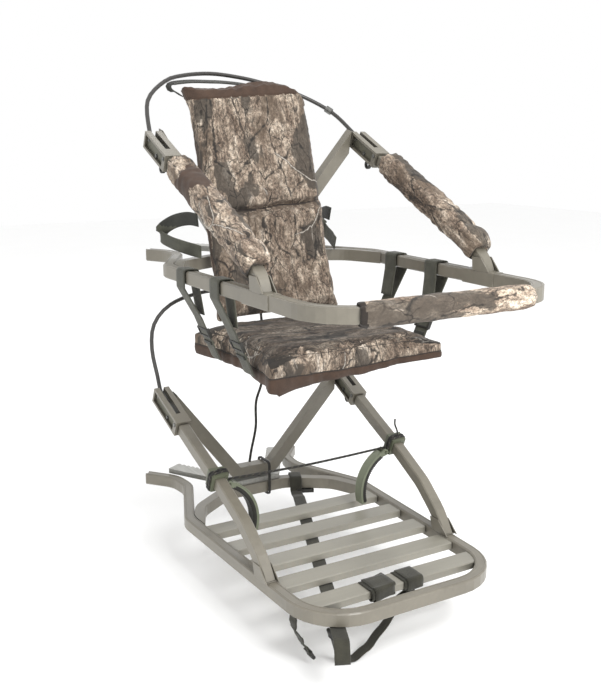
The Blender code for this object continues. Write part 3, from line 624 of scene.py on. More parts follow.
def eased(work, name, bevel, sharpest=0):
    """The mesh of work with its edges eased by bevel inches, if sharper than an angle."""
    bmesh.ops.recalc_face_normals(work, faces=work.faces)
    edges = [e for e in work.edges if not sharpest
             or len(e.link_faces) == 2 and e.calc_face_angle(0) > radians(sharpest)]
    bmesh.ops.bevel(work, geom=edges, offset=bevel * INCH, segments=2, profile=0.5,
                    affect="EDGES", clamp_overlap=True)
    mesh = bpy.data.meshes.new(name)
    work.to_mesh(mesh)
    work.free()
    return mesh


def prism_mesh(name, outline, depth, bevel):
    """A flat outline in inches, extruded by depth about its plane, its edges eased."""
    work = bmesh.new()
    base = [work.verts.new(Vector((p[0], p[1], -depth / 2)) * INCH) for p in outline]
    face = work.faces.new(base)
    top = bmesh.ops.extrude_face_region(work, geom=[face])
    moved = [g for g in top["geom"] if isinstance(g, bmesh.types.BMVert)]
    bmesh.ops.translate(work, vec=Vector((0, 0, depth * INCH)), verts=moved)
    return eased(work, name, bevel, 35)


def blocks_mesh(name, boxes, bevel):
    """Several eased blocks in one mesh, each as (low corner, high corner) in inches."""
    work = bmesh.new()
    for low, high in boxes:
        low, high = Vector(low) * INCH, Vector(high) * INCH
        made = bmesh.ops.create_cube(work, size=1.0)["verts"]
        for v in made:
            v.co = Vector(low[k] if v.co[k] < 0 else high[k] for k in range(3))
    return eased(work, name, bevel)


def ribs_mesh(name, spots, size):
    """Small eased blocks, one at each matrix; size in inches."""
    work = bmesh.new()
    for spot in spots:
        scaled = spot @ Matrix.Diagonal((*(Vector(size) * INCH), 1.0))
        bmesh.ops.create_cube(work, size=1.0, matrix=scaled)
    return eased(work, name, 0.02)


def turned_mesh(name, profile):
    """A turned shape on local Z; profile is (radius, height, whether it is a hexagon)."""
    rings, sector = [], pi / 3
    for radius, height, hexagon in profile:
        ring = []
        for k in range(60):
            turn = 2 * pi * k / 60
            reach = radius
            if hexagon:
                reach = radius * cos(sector / 2) / cos((turn % sector) - sector / 2)
            ring.append(Vector((reach * cos(turn), reach * sin(turn), height)) * INCH)
        rings.append(ring)
    return skin_mesh(name, rings)


def sharpen(piece):
    """Break the smooth shading at sharp edges."""
    work = bmesh.new()
    work.from_mesh(piece.data)
    for edge in work.edges:
        edge.smooth = not (len(edge.link_faces) == 2
                           and edge.calc_face_angle(0) > SHARP)
    work.to_mesh(piece.data)
    work.free()
    return piece


def bolt(name, point, axis, size, body):
    """Hex head with a washer under it; axis points out of the surface."""
    head = [(0.02, 0.0, 0), (size * 1.35, 0.0, 0), (size * 1.35, 0.035, 0),
            (size * 1.02, 0.04, 6), (size * 1.02, size * 0.72, 6),
            (size * 0.86, size * 0.84, 0), (size * 0.3, size * 0.86, 0), (0.02, size * 0.8, 0)]
    turn = axis.to_track_quat("Z", "Y").to_matrix().to_4x4()
    sharpen(add_piece(name, turned_mesh(name, head), "steel", body,
                      matrix=Matrix.Translation(point) @ turn))


def weld(name, points, body, radius):
    """A bead with the ripple of its passes, along points in metres."""
    path = even(points, 0.0012)
    mesh = tube_mesh(name, path, radius * INCH, 8,
                     swell=lambda t: 0.9 + 0.22 * abs(sin(t * len(path) * 0.55)))
    add_piece(name, mesh, "frame_metal", body)


def rod(name, path, radius, slot, body, sides=8, closed=False, looks=()):
    """A round rod along points in metres, its radius in inches."""
    mesh = tube_mesh(name, path, radius * INCH, sides, closed)
    return add_piece(name, mesh, slot, body, looks)


# ---------------------------------------------------------------- camera

camera = bpy.data.objects.new("camera", bpy.data.cameras.new("camera"))
bpy.context.scene.collection.objects.link(camera)
camera.location = (-1.0278, -2.1818, 0.2757)
camera.rotation_euler = (radians(77.01), 0.0, radians(-30.15))
camera.data.sensor_fit = "HORIZONTAL"
camera.data.sensor_width = 36.0
camera.data.lens = 54.84
camera.data.shift_x = -0.0028
bpy.context.scene.camera = camera


# ---------------------------------------------------------------- cords

def cord(name, inches, step, radius, look, body=None):
    """A cord as a tube along its solid's route."""
    route = [place(*p) for p in smooth_route(inches, step)]
    piece = rod(name + "_line", route, radius, look, body, 14)
    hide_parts(name)
    return piece, route


LOWER_CABLE = [cable_entry(PLATFORM, FOOT_LEAN, 3.6), cable_entry(PLATFORM, FOOT_LEAN, 5.2),
               (-9.6, 29.6, 12.2), (-9.7, 30.5, 14.6), (-9.2, 31.0, 16.9),
               (-7.3, 31.4, 18.6), (-4.0, 31.9, 19.4), (0, 32.1, 19.5)]
LOWER_CABLE += [(-x, y, z) for x, y, z in LOWER_CABLE[-2::-1]]
UPPER_LEFT, UPPER_RIGHT = [[cable_entry(SEAT, SEAT_FOOT, along, side)
                            for along in (3.6, 4.6, 5.4)] for side in (-1, 1)]
UPPER_CABLE = UPPER_LEFT + [(-9.75, 29.1, 37.75), (-7.6, 30.3, 39.55), (-5.35, 31.2, 40.2),
                            (-2.3, 32.0, 40.5), (0.6, 32.2, 40.3), (3.4, 32.0, 39.8),
                            (7.0, 31.0, 38.7), (9.7, 29.1, 37.0)] + UPPER_RIGHT[::-1]
TETHER = [(0.1, 27.7, 22.65), (0.45, 27.75, 20.0), (0.85, 27.65, 16.0), (0.8, 27.6, 11.1),
          (0.05, 27.6, 8.6), (0.08, 27.8, 5.9), (-0.3, 28.1, 3.4), (-0.45, 28.25, 2.12)]
CLIP_X = upright_x(PLATFORM, STIRRUP_Y) - 1.0  # where the bungee meets the clamps
BUNGEE_Z = 5.5
BUNGEE = [(x, STIRRUP_Y, BUNGEE_Z - sag) for x, sag in
          ((-CLIP_X, 0), (-4.0, 0.12), (0, 0.18), (4.0, 0.12), (CLIP_X, 0))]

cord("platform_cable", LOWER_CABLE, 0.75, CABLE_R, "coated_cable", "platform")
cord("seat_cable", UPPER_CABLE, 0.75, CABLE_R, "coated_cable",
     "seat_section")
cord("stirrup_bungee", BUNGEE, 0.45, BUNGEE_R, "cord", "platform")
tether, tether_route = cord("tether_cord", TETHER, 0.45, TETHER_R, "cord")
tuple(tether_route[0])
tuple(tether_route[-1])
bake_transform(tether)


# ---------------------------------------------------------------- CAD nodes' own materials

for name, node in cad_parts.items():
    for holder in node.material_slots:
        holder.material = LOOKS[holder.material.name.split(".")[0]]


# ---------------------------------------------------------------- padded pieces

CLOTH_FRAMES = 20


def apply_modifiers(piece):
    seen = piece.evaluated_get(bpy.context.evaluated_depsgraph_get())
    mesh = bpy.data.meshes.new_from_object(seen)
    piece.modifiers.clear()
    old, piece.data = piece.data, mesh
    bpy.data.meshes.remove(old)


def remesh(piece, voxel):
    step = piece.modifiers.new("voxels", "REMESH")
    step.mode = "VOXEL"
    step.voxel_size = voxel
    apply_modifiers(piece)


def inflate(piece, cap):
    """Cloth blown up from inside, no point moving further than cap."""
    rest = [v.co.copy() for v in piece.data.vertices]
    cloth = piece.modifiers.new("Cloth", "CLOTH")
    for key, value in (("use_pressure", True), ("uniform_pressure_force", 4.0),
                       ("quality", 4), ("mass", 0.3), ("tension_stiffness", 12),
                       ("compression_stiffness", 12), ("bending_stiffness", 0.6)):
        setattr(cloth.settings, key, value)
    cloth.settings.effector_weights.gravity = 0.0
    cloth.collision_settings.use_collision = False
    cloth.point_cache.frame_start = 1
    cloth.point_cache.frame_end = CLOTH_FRAMES
    for number in range(1, CLOTH_FRAMES + 1):
        bpy.context.scene.frame_set(number)
    seen = piece.evaluated_get(bpy.context.evaluated_depsgraph_get())
    moved = [v.co.copy() for v in seen.data.vertices]
    piece.modifiers.clear()
    bpy.context.scene.frame_set(1)
    for vertex, start, end in zip(piece.data.vertices, rest, moved):
        shift = end - start
        if shift.length > cap:
            shift *= cap / shift.length
        vertex.co = start + shift


def subdivide(piece):
    step = piece.modifiers.new("smooth", "SUBSURF")
    step.levels = step.render_levels = 1
    apply_modifiers(piece)


def fit_box(piece, low, high):
    """The piece scaled to fill the box between two layout corners in inches."""
    low, high = place(*low), place(*high)
    points = [v.co for v in piece.data.vertices]
    for k in range(3):
        least, most = min(p[k] for p in points), max(p[k] for p in points)
        for p in points:
            p[k] = low[k] + (p[k] - least) / (most - least) * (high[k] - low[k])


def paint(piece, rule):
    """Give each face the material number that rule finds from its middle and normal."""
    for face in piece.data.polygons:
        face.material_index = rule(layout(face.center), face.normal)
        face.use_smooth = True


def girdle(piece, middle, level, count, out):
    """Points on the piece round a level, cast from outside and moved out, in metres."""
    tree = BVHTree.FromPolygons([v.co for v in piece.data.vertices],
                                [f.vertices[:] for f in piece.data.polygons])
    found = []
    for i in range(count):
        turn = 2 * pi * i / count
        way = Vector((cos(turn), sin(turn), 0))
        centre = place(*middle, level(turn))
        hit = tree.ray_cast(centre + way, -way)
        if hit[0] is not None:
            found.append(hit[0] + way * out)
    return found


def bell(off, width):
    """1 at 0, falling off smoothly to either side."""
    return exp(-(off / width) ** 2)


def ripple(p, size, seed=0.0):
    """A smooth noise from -1 to 1 at a layout point, its bumps about size inches."""
    return noise.noise(Vector((p[0] / size + seed, p[1] / size, p[2] / size)))


def cushion_seam(u, v):
    """How far the lower seam and the lower edge lie above the cushion's CAD base, in inches."""
    front = max(0.0, min(1.0, (0.2 - v) / 0.8))
    seam = 0.6 + 0.195 * u + 0.445 * u * u
    edge = -0.1 + 0.425 * u + 0.375 * u * u
    return 0.95 + (seam - 0.95) * front, edge * front


def seat_cushion():
    """Cushion with a seam round its top and another above its plain lower edge."""
    low, high = CUSHION
    inset = 0.35
    mesh = blocks_mesh("cushion", [([a + inset for a in low], [b - inset for b in high])], 0.3)
    mesh.transform(Matrix.Translation(place(0, 0, 0)))
    piece = add_piece("cushion", mesh, "camo_cloth",
                      looks=[SHADED_TOP_BARK, LOOKS["camo_cloth"], BROWN])
    remesh(piece, 0.0055)
    inflate(piece, 0.024)
    fit_box(piece, low, high)
    subdivide(piece)
    x_half, y_mid = high[0], (low[1] + high[1]) / 2
    y_half = (high[1] - low[1]) / 2
    for vertex in piece.data.vertices:
        # u and v run from -1 to 1 across and along the cushion.
        p = layout(vertex.co)
        u, v = p.x / x_half, (p.y - y_mid) / y_half
        edge = max(abs(u), abs(v))
        corner = max(0.0, min(abs(u), abs(v)) - 0.72) / 0.28
        square = 1 + 0.055 * abs(u * v) ** 3
        p.x *= square
        p.y += (p.y - y_mid) * (square - 1)
        # Top: lower corners, a crown, soft lumps and folds.
        rise = (p.z - low[2]) / (high[2] - low[2])
        if rise > 0.45:
            p.z -= (0.7 if v > 0 or u > 0 else 1.0) * corner ** 1.6 * (rise - 0.45)
            fold = 1 - abs(ripple((p.x * 0.45, p.y * 1.3, 0), 2.6, 2.0))
            p.z += 0.10 * (1 - edge ** 2) + 0.07 * ripple((p.x * 0.4, p.y * 1.5, p.z), 2.2)
            p.z += 0.05 * ripple((p.x, p.y, 0), 1.1, 4.0) - 0.10 * fold ** 9 * (1 - edge ** 6)
        # Sides: lumps, and a pinch along the upper seam.
        side = min(1.0, max(0.0, (edge - 0.8) * 5))
        p.x += side * 0.08 * ripple(p, 2.4, 7.0)
        p.y += side * 0.10 * ripple(p, 2.1, 9.0)
        p.y += side * 0.05 * ripple((p.x * 2.2, 0, p.z * 0.4), 1.0, 3.0)
        p.z = max(p.z, low[2] + 0.02)
        top_seam = abs(p.z - (high[2] - 0.5 - 0.3 * corner))
        if edge > 0.9 and top_seam < 0.3:
            shrink = 0.012 * bell(top_seam, 0.1)
            p.x -= p.x * shrink
            p.y -= (p.y - y_mid) * shrink
        # Foot: the lower seam and the edge follow their own line, tucked in below it.
        height = p.z - low[2]
        seam, base = cushion_seam(u, v)
        if height < 1.0:
            p.z = low[2] + base + (seam - base) * height
        elif height < 2.2:
            p.z += (seam - 1.0) * (2.2 - height) / 1.2
        if height < 0.95:
            tuck = (0.95 - height) * 0.035
            p.x -= p.x * tuck * (1.1 - abs(v))
            p.y -= (p.y - y_mid) * tuck * (1.1 - abs(u))
        vertex.co = place(*p)

    def face_look(middle, normal):
        seam, _ = cushion_seam(middle.x / x_half, (middle.y - y_mid) / y_half)
        if middle.z < low[2] + seam:
            return 2
        # Painted shade: faces that look up take the darker top copy of the print.
        return 0 if normal.z > 0.72 else 1

    def seam_level(turn):
        reach = max(abs(cos(turn)), abs(sin(turn)))
        return low[2] + cushion_seam(cos(turn) / reach, sin(turn) / reach)[0]

    paint(piece, face_look)
    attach(piece, "seat_sling")
    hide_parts("seat_cushion")
    lower = girdle(piece, (0, y_mid), seam_level, 360, 0.0004)
    skirt(lower)
    rod("cushion_lower_seam", lower, 0.05, "camo_cloth", "seat_sling", 8, True, [HEM_AND_CREASE_SHADE])
    upper = girdle(piece, (0, y_mid), lambda turn: high[2] - 0.62, 160, -0.0006)
    rod("cushion_upper_seam", upper, 0.035, "camo_cloth", "seat_sling", 8, True, [HEM_AND_CREASE_SHADE])


def skirt(seam):
    """Plain cloth under the cushion's lower seam, with a pointed tuck at the near corner."""
    rings = []
    for drop, out in ((0.0, -0.12), (0.04, 0.03), (0.35, 0.10), (0.7, 0.10), (0.97, 0.04),
                      (1.0, -0.02), (0.96, -0.25), (0.3, -0.3)):
        ring = []
        for i, point in enumerate(seam):
            turn = 2 * pi * i / len(seam)
            way = Vector((cos(turn), sin(turn), 0))
            reach = max(abs(way.x), abs(way.y))
            level, base = cushion_seam(way.x / reach, way.y / reach)
            p = layout(point)
            corner = exp(-abs(turn - NEAR_CORNER) / radians(3.6))
            far = exp(-abs(turn - FAR_CORNER) / radians(4))
            wave = ripple((p.x, p.y, 0), 1.6, 5.0)
            p += way * (out + drop * (0.3 * far + 0.07 * wave - 0.08))
            p += Vector((-1.0, -0.25, -0.42)) * (corner * drop)
            p.z -= drop * (level - base + 0.06 * wave)
            ring.append(place(*p))
        rings.append(ring)
    mesh = skin_mesh("cushion_skirt", rings, closed=True)
    add_piece("cushion_skirt", mesh, "camo_cloth", "seat_sling", [BROWN])


def spine_y(z):
    """Y of the backrest's middle line at a height, in inches."""
    for a, b in zip(BACKREST_LINE, BACKREST_LINE[1:]):
        if z <= b[1] or b is BACKREST_LINE[-1]:
            return a[0] + (b[0] - a[0]) * (z - a[1]) / (b[1] - a[1])


def backrest():
    """Panel with a casing along its top, a tufted crease and bound edges."""
    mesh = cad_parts["backrest"].data.copy()
    mesh.materials.clear()
    piece = add_piece("backrest_pad", mesh, "camo_cloth", looks=[LOOKS["camo_cloth"], BROWN, HEM_AND_CREASE_SHADE])
    remesh(piece, 0.0058)
    low, high = (layout(c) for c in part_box("backrest"))
    for vertex in piece.data.vertices:
        vertex.co -= vertex.normal * 0.005
    inflate(piece, 0.014)
    fit_box(piece, low, high)
    subdivide(piece)
    half = high.x

    def crease_z(u):
        return CREASE_Z + 0.5 * u + 0.06 * sin(9 * u)

    def casing_z(u):
        return CASING_Z + 0.45 * (u + 1)

    for vertex in piece.data.vertices:
        p = layout(vertex.co)
        front = spine_y(p.z) - p.y
        u = p.x / half
        # Front: the crease and the swell either side of it, its gathers, and lumps.
        gap = p.z - crease_z(u)
        dip = bell(gap, 0.36)
        shoulder = bell(abs(gap) - 1.1, 0.8)
        facing = max(0.0, min(1.0, front / 0.5))
        middle = 1 - abs(u) ** 4
        gather = 0.5 + 0.5 * ripple((p.x * 2.0, 0, 0), 1.0, 8.0)
        p.y += facing * (0.70 * dip * middle - 0.30 * shoulder * middle)
        p.y -= facing * 0.26 * shoulder * gather * ripple((p.x * 2.6, 0, p.z * 0.7), 1.0, 2.0)
        p.y -= facing * 0.16 * (1 - u * u)
        p.y += facing * 0.10 * ripple((p.x * 1.5, 0, p.z * 0.5), 1.7)
        p.y += facing * 0.05 * ripple((p.x * 2.2, 0, p.z * 1.1), 1.0, 5.0)
        # Edges: flare at the crease.
        waist = bell(p.z - 28.0 - 0.6 * u, 0.7)
        below = bell(p.z - 26.4, 0.9)
        p.x += copysign(1, u) * abs(u) ** 6 * (0.34 * waist + 0.12 * below - 0.16 * dip)
        p.x += abs(u) ** 6 * 0.12 * ripple((p.x, p.y, p.z), 1.3, 3.0)
        # Top: the casing's uneven hem, and its far corner cut away.
        if p.z > 37.6:
            top = (p.z - 37.6) / 1.65
            p.z += top * (1.0 * bell(u - 0.20, 0.55) - 0.38)
            p.x -= 0.30 * top * max(0.0, -u) ** 3
            p.z += 0.09 * top * ripple((p.x * 2.4, 0, 0), 1.0, 6.0)
            p.y += 0.10 * top * sin(p.x * 5.5) * ripple((p.x, 0, 2), 2.0)
        corner = max(0.0, u - 0.55) / 0.45
        if p.z > 35.5:
            p.z -= 2.3 * corner ** 2.4 * (p.z - 35.5) / 3.7
        p.y += facing * 0.12 * bell(p.z - casing_z(u), 0.08)
        vertex.co = place(*p)

    def face_look(middle, normal):
        u = middle.x / half
        front = spine_y(middle.z) - middle.y
        if middle.z > casing_z(u) + 0.04 * sin(middle.x * 7):
            return 1
        # Painted shade: a thin band along the crease takes the dark hem cloth.
        if abs(middle.z - crease_z(u)) < 0.07 and front > 0 and abs(u) < 0.98:
            return 2
        return int(abs(normal.x) > 0.7 and -0.4 < front < 0.05 and middle.z < 34)

    paint(piece, face_look)
    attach(piece, "backrest_panel")
    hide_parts("backrest")


def sleeve(name, node, place_at, length, size, rise, looks, lumps, seed, shape, look_at):
    """Foam sleeve round a square tube; place_at gives the matrix at a distance along it."""
    steps, sides = 120, 56
    inner_w, inner_h = TUBE_W / 2 + GAP, TUBE_H / 2 + GAP
    power = 2 / SLEEVE_SQUARENESS
    turns = [2 * pi * (k + 0.5) / sides for k in range(sides)]

    def outer(z, t, a):
        c, s = cos(a), sin(a)
        off = min(t, 1 - t) * length
        bulge = 0.97 - 0.20 * exp(-off / 0.25)
        bulge += lumps * noise.noise(Vector((c * 1.2, s * 1.2, z / 1.6 + seed)))
        bulge += lumps * 0.5 * noise.noise(Vector((c * 2.2, s * 2.2, z * 1.6 + seed)))
        bulge += 0.05 * sin(9 * a + seed) * exp(-off / 0.5)
        bulge += shape(t, a)
        x = copysign(abs(c) ** power, c) * size / 2 * bulge
        y = copysign(abs(s) ** power, s) * size / 2 * bulge + rise * min(1.0, bulge)
        if abs(y) < inner_h:
            x = copysign(max(abs(x), inner_w + 0.06), x)
        if abs(x) < inner_w:
            y = copysign(max(abs(y), inner_h + 0.06), y)
        return x, y

    def inner(a):
        reach = 1 / max(abs(cos(a)) / inner_w, abs(sin(a)) / inner_h)
        return cos(a) * reach, sin(a) * reach

    rings = []
    for k in range(steps + 1):
        z = (k / steps - 0.5) * length
        spot = place_at(z)
        rings.append([spot @ (Vector((*outer(z, k / steps, a), 0)) * INCH) for a in turns])
    for z in (length / 2 - 0.12, 0.12 - length / 2):
        rings.append([place_at(z) @ (Vector((*inner(a), 0)) * INCH) for a in turns])
    mesh = skin_mesh(name, rings, closed=True)
    piece = add_piece(name, mesh, "camo_cloth", "seat_section", looks)
    for index, face in enumerate(mesh.polygons):
        row, column = divmod(index, sides)
        face.material_index = look_at(row / steps, column / sides)
    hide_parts(node)


def along_line(path):
    """A function that gives point and direction at a distance, and each point's distance."""
    reach = [0.0]
    for a, b in zip(path, path[1:]):
        reach.append(reach[-1] + (b - a).length)

    def at(goal):
        k = max(i for i, value in enumerate(reach[:-1]) if value <= max(goal, 0.0))
        a, b = path[k], path[k + 1]
        spot = a.lerp(b, (goal - reach[k]) / (b - a).length)
        return spot, (path[min(k + 3, len(path) - 1)] - path[max(k - 2, 0)]).normalized()
    return at, reach


def arm_pads():
    """Sleeves on the uprights, which carry on a little way round the bend above each foot."""
    at, _ = along_line(even(rounded(SEAT_FOOT[::-1], 2.0), 0.1))
    straight = (Vector(SEAT_FOOT[-1]) - Vector(SEAT_FOOT[-2])).length
    start = straight - sum(ARM_PAD)
    length = ARM_PAD[1] + ARM_PAD_ROUND_BEND
    for side, hand in SIDES:
        lean = side * SEAT["lean"]
        across = Vector((1, -lean, 0)).normalized()

        def place_at(z, side=side, lean=lean, across=across):
            spot, run = at(start + length / 2 + z)
            x = side * upright_x(SEAT, spot.x)
            along = -Vector((lean * run.x, run.x, run.y)).normalized()
            origin = place(x, spot.x, SEAT_Z + spot.y)
            return Matrix.Translation(origin) @ basis(across, across.cross(along))

        def shape(t, a, side=side):
            """Creases at the gathered upper end, a fold and an overhanging lobe at the lower."""
            upper = exp(-t * length / 2.2)
            out = 0.055 * upper * sin(t * length * 7 + 1.5 * sin(a))
            fold = (t - 0.84 - 0.02 * sin(a)) * length
            lobe = (t - 0.93) * length
            top = 0.5 + 0.5 * sin(a)
            out -= (0.16 if side < 0 else 0.07) * top * bell(fold, 0.28)
            out += 0.10 * top * bell(lobe, 0.6)
            creases = bell((t - 0.66) * length, 1.7)
            out += 0.035 * creases * sin(t * length * 5.5 + 2.0 * cos(a))
            return out + 0.035 * sin(pi * t)

        def look_at(t, share, side=side):
            edge = 0.02 * sin(share * 19) + 0.012 * sin(share * 47)
            if side < 0 and 0.15 + edge < t < 0.34 - edge:
                return 1
            return 2 if t > 1.0 else 0

        sleeve(f"arm_sleeve_{hand}", f"arm_pad_{hand}", place_at, length, 2.28, ARM_PAD_RISE,
               [ARM_BARK, BROWN, HEM_AND_CREASE_SHADE], 0.085, 3.0 + side, shape, look_at)


def front_pad():
    """Sleeve round the seat frame's front bar, on into the start of its corners."""
    at, reach = along_line(even(frame_path(SEAT), 0.1))
    length = 2 * FRONT_PAD_HALF + FRONT_PAD_OVERHANG
    middle = reach[-1] / 2 + FRONT_PAD_SHIFT

    def place_at(z):
        spot, run = at(middle + z)
        return frame_matrix((spot.x, spot.y, SEAT_Z - TUBE_H / 2),
                            Vector((-run.y, run.x, 0)), (0, 0, 1))

    def shape(t, a):
        return 0.03 * sin(t * 60 + 2 * sin(a)) * exp(-t * length / 1.5)

    def look_at(t, share):
        return 2 if t < 0.022 + 0.006 * sin(share * 12) or t > 1.0 else 0

    # Painted light: the sleeve takes the lighter copy of the print.
    sleeve("front_bar_sleeve", "front_bar_pad", place_at, length, 1.86, 0.0,
           [LIT_LEVEL_BARK, BROWN, HEM_AND_CREASE_SHADE], 0.06, 11.0, shape, look_at)


# ---------------------------------------------------------------- webbing

def upright_route(line, y, step):
    """A route in metres along a line of (x, z) points in inches, at one depth."""
    return [place(p.x, y, p.y) for p in even(line, step)]


def strap(name, node, route, wide, width, body, look, ripple, seed):
    """Webbing along a route, in place of a CAD node."""
    mesh = strap_mesh("strap", route, wide, width * INCH, STRAP_T * INCH, ripple, seed)
    piece = add_piece(name, mesh, "webbing", body, [look])
    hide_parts(node)
    return piece


def moulding(name, boxes, bevel, matrix, body):
    """Blocks of dark plastic in one piece, at a matrix."""
    mesh = blocks_mesh(name, boxes, bevel)
    return sharpen(add_piece(name, mesh, "dark_plastic", body, matrix=matrix))


def ladder_buckle(name, matrix, body):
    """Ladder-lock buckle: two side bars, three rungs and a lifting lip."""
    across, along, through = 2.0, 0.9, 0.3
    half, end = across / 2, along / 2
    boxes = [((s * half - 0.09, -through / 2, -end), (s * half + 0.09, through / 2, end))
             for s in (-0.91, 0.91)]
    boxes += [((-half + 0.1, -0.13, -end), (half - 0.1, 0.06, -end + 0.16)),
              ((-half + 0.1, 0.02, -0.09), (half - 0.1, 0.16, 0.09)),
              ((-half + 0.1, -0.13, end - 0.16), (half - 0.1, 0.06, end)),
              ((-half + 0.2, 0.08, end - 0.12), (half - 0.2, 0.20, end + 0.10))]
    return moulding(name, boxes, 0.035, matrix, body)


def seat_strap(side, hand, y, row):
    """A strap round a rail down to the cushion's edge, with its buckle and keeper."""
    outer = rail_x(SEAT, y) + STRAP_CLEAR
    inner = rail_x(SEAT, y, TUBE_W) - STRAP_CLEAR - SLIDE_ROOM
    top, knee = SEAT_Z + STRAP_CLEAR, SEAT_Z - TUBE_H - 0.3
    path = [(8.1, 15.9), (8.25, 16.1), (9.55, 19.1), (9.8, 19.7), (outer, knee),
            (outer, top), (inner, top), (inner, knee), (9.6, 20.0)]
    line = rounded([(side * x, z) for x, z in path], 0.25)
    strap(f"seat_sling_strap_{row}_{hand}", f"seat_strap_{row}_{hand}",
          upright_route(line, y, 0.3), (0, 1, 0), STRAP_W, "seat_sling", LOOKS["webbing"],
          0.0003, y + side)
    slope = Vector((side * 1.3, 3.0)).normalized()
    centre = Vector((side * 9.55, 19.1)) - slope * 0.75
    matrix = frame_matrix((centre.x, y, centre.y), (0, 1, 0), (slope.y, 0, -slope.x))
    buckle = ladder_buckle(f"ladder_lock_{row}_{hand}", matrix, "seat_sling")
    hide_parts(f"seat_buckle_{row}_{hand}")
    keeper = [place(side * (8.86 + dx), y + dy, 17.5 + dz) for dx, dy, dz in
              ((-0.11, -0.66, 0.05), (-0.11, 0.66, 0.05), (0.12, 0.66, -0.05),
               (0.12, -0.66, -0.05))]
    ring = strap_mesh("keeper", even(keeper + keeper[:1], 0.004)[:-1], (side * 1.3, 0, 3.0),
                      0.34 * INCH, 0.07 * INCH, closed=True)
    add_piece(f"strap_keeper_{row}_{hand}", ring, "webbing", "seat_sling", [DARK_AND_SHADED_WEBBING])


def side_straps():
    """Loops behind the backrest's edges: webbing on edge that turns back on itself."""
    points = [(7.0, 24.9, 27.3), (7.35, 26.4, 27.35), (7.9, 28.1, 27.0), (8.55, 29.3, 26.3),
              (8.85, 29.35, 25.65), (8.6, 28.2, 25.2), (8.0, 26.3, 24.85), (7.1, 24.1, 24.5)]
    for side, hand in SIDES:
        route = [place(side * x, y, z) for x, y, z in smooth_route(points, 0.25)]
        piece = strap(f"side_webbing_{hand}", f"backrest_side_strap_{hand}", route,
                      (0.15 * side, 0, 1), 1.25, "backrest_panel", LOOKS["webbing"],
                      0.0012, side)
        # Painted shade: the upper run, whose inner side is in shade, takes the darker webbing.
        piece.data.materials.append(DARK_AND_SHADED_WEBBING)
        for face in piece.data.polygons:
            face.material_index = int(layout(face.center).z > 26.5)


def top_strap():
    """Strap that bows back from the backrest's two upper corners."""
    points = [(-6.15, 29.95, 38.3), (-6.75, 30.9, 39.0), (-6.2, 31.5, 39.5), (-3.5, 32.0, 39.75),
              (0, 32.0, 39.7), (3, 31.5, 39.3), (5.6, 30.9, 38.7), (6.2, 30.0, 38.2)]
    route = [place(*q) for q in smooth_route(points, 0.25)]
    strap("top_webbing", "backrest_top_strap", route, (0, 1, 0.35), 0.95, "backrest_panel",
          DARK_AND_SHADED_WEBBING, 0.0008, 2.0)


def pack_straps():
    """The carrying strap from the rear bow under the slats, and its loop and tail in front."""
    under = SLAT_BOTTOM - STRAP_CLEAR
    low = -TUBE_H - STRAP_CLEAR
    scale = sqrt(1 + CARRY_LEAN * CARRY_LEAN)
    loop_on_bow = [(0.95, -0.9), (0.95, STRAP_CLEAR), (-1.0, STRAP_CLEAR), (-1.0, low)]
    under_slats = [(-2.2, low), (-3.4, under), (-24.6, under), (-25.6, low), (-28.1, low),
                   (-28.6, -2.8)]
    matrix = frame_matrix((*CARRY_BOW, 0), (-CARRY_LEAN, 1, 0), (0, 0, 1))
    line = rounded(loop_on_bow + [(u * scale, z) for u, z in under_slats], 0.4)
    route = [matrix @ (Vector((*p, 0)) * INCH) for p in even(line, 0.35)]
    strap("carry_strap", "pack_strap", route, matrix.to_3x3() @ Vector((0, 0, 1)), 1.2,
          "platform", PACK_WEBBING, 0.001, 1.0)
    loop = [(1.6, low), (0.3, low - 0.5), (-0.8, -3.4), (-2.9, -5.2), (-4.4, -5.95),
            (-5.6, -5.1), (-6.2, -3.0)]
    tail = [(-9.0, low), (-8.85, -2.4), (-7.9, -4.2), (-7.35, -5.1)]
    for name, node, points, y, seed in (("carry_loop", "pack_strap_loop", loop, 3.1, 5.0),
                                        ("carry_tail", "pack_strap_tail", tail, 4.3, 8.0)):

        def wide(t, seed=seed):
            twist = 0.55 * noise.noise(Vector((t * 5 + seed, 0, seed)))
            return (twist, 1, 0.4 * twist)

        strap(name, node, upright_route(rounded(points, 1.0), y, 0.2), wide, 0.9, "platform",
              PACK_WEBBING, 0.003, seed)


def slat_wraps():
    """Two webbing cuffs with hook-and-loop flaps round the front slat."""
    back, front = 4.5 + CUFF_CLEAR, 2.6 - CUFF_CLEAR
    top, low = SLAT_TOP + CUFF_CLEAR, SLAT_BOTTOM - CUFF_CLEAR
    for name, x, width, skew in (("slat_cuff_wide", -1.7, 2.5, 0.22),
                                 ("slat_cuff_narrow", 1.25, 1.9, 0.05)):
        under = [(3.9, low), (back, low), (back, top), (front, top), (front, low), (3.2, low)]
        over = [(4.35, top + 0.11), (front - 0.11, top + 0.11), (front - 0.11, low - 0.11),
                (2.9, low - 0.11)]
        for layer, path in enumerate((under, over)):
            points = even(rounded(path, 0.27), 0.2)
            route = [place(x + 0.12 * layer, p.x, p.y) for p in points]
            mesh = strap_mesh("cuff", route, (1, skew, 0), (width - 0.3 * layer) * INCH,
                              STRAP_T * INCH, 0.0006, x)
            add_piece(f"{name}_{layer + 1}", mesh, "webbing", "platform", [PACK_WEBBING])


# ---------------------------------------------------------------- metal and moulded details

def frame_lips():
    """Rolled lips on the top face of both frames, a little in from its edges."""
    for section, _, body, label in SECTIONS:
        middle = frame_path(section)
        runs = [b - a for a, b in zip(middle[:1] + middle, middle[1:] + middle[-1:])]
        for offset, edge in ((0.33, "outer"), (-0.33, "inner")):
            path = []
            for point, run in zip(middle, runs):
                side = Vector((-run.y, run.x)).normalized() * offset
                path.append(place(point.x + side.x, point.y + side.y, section["z"] - 0.02))
            rod(f"{label}_lip_{edge}", path, 0.06, "frame_metal", body)


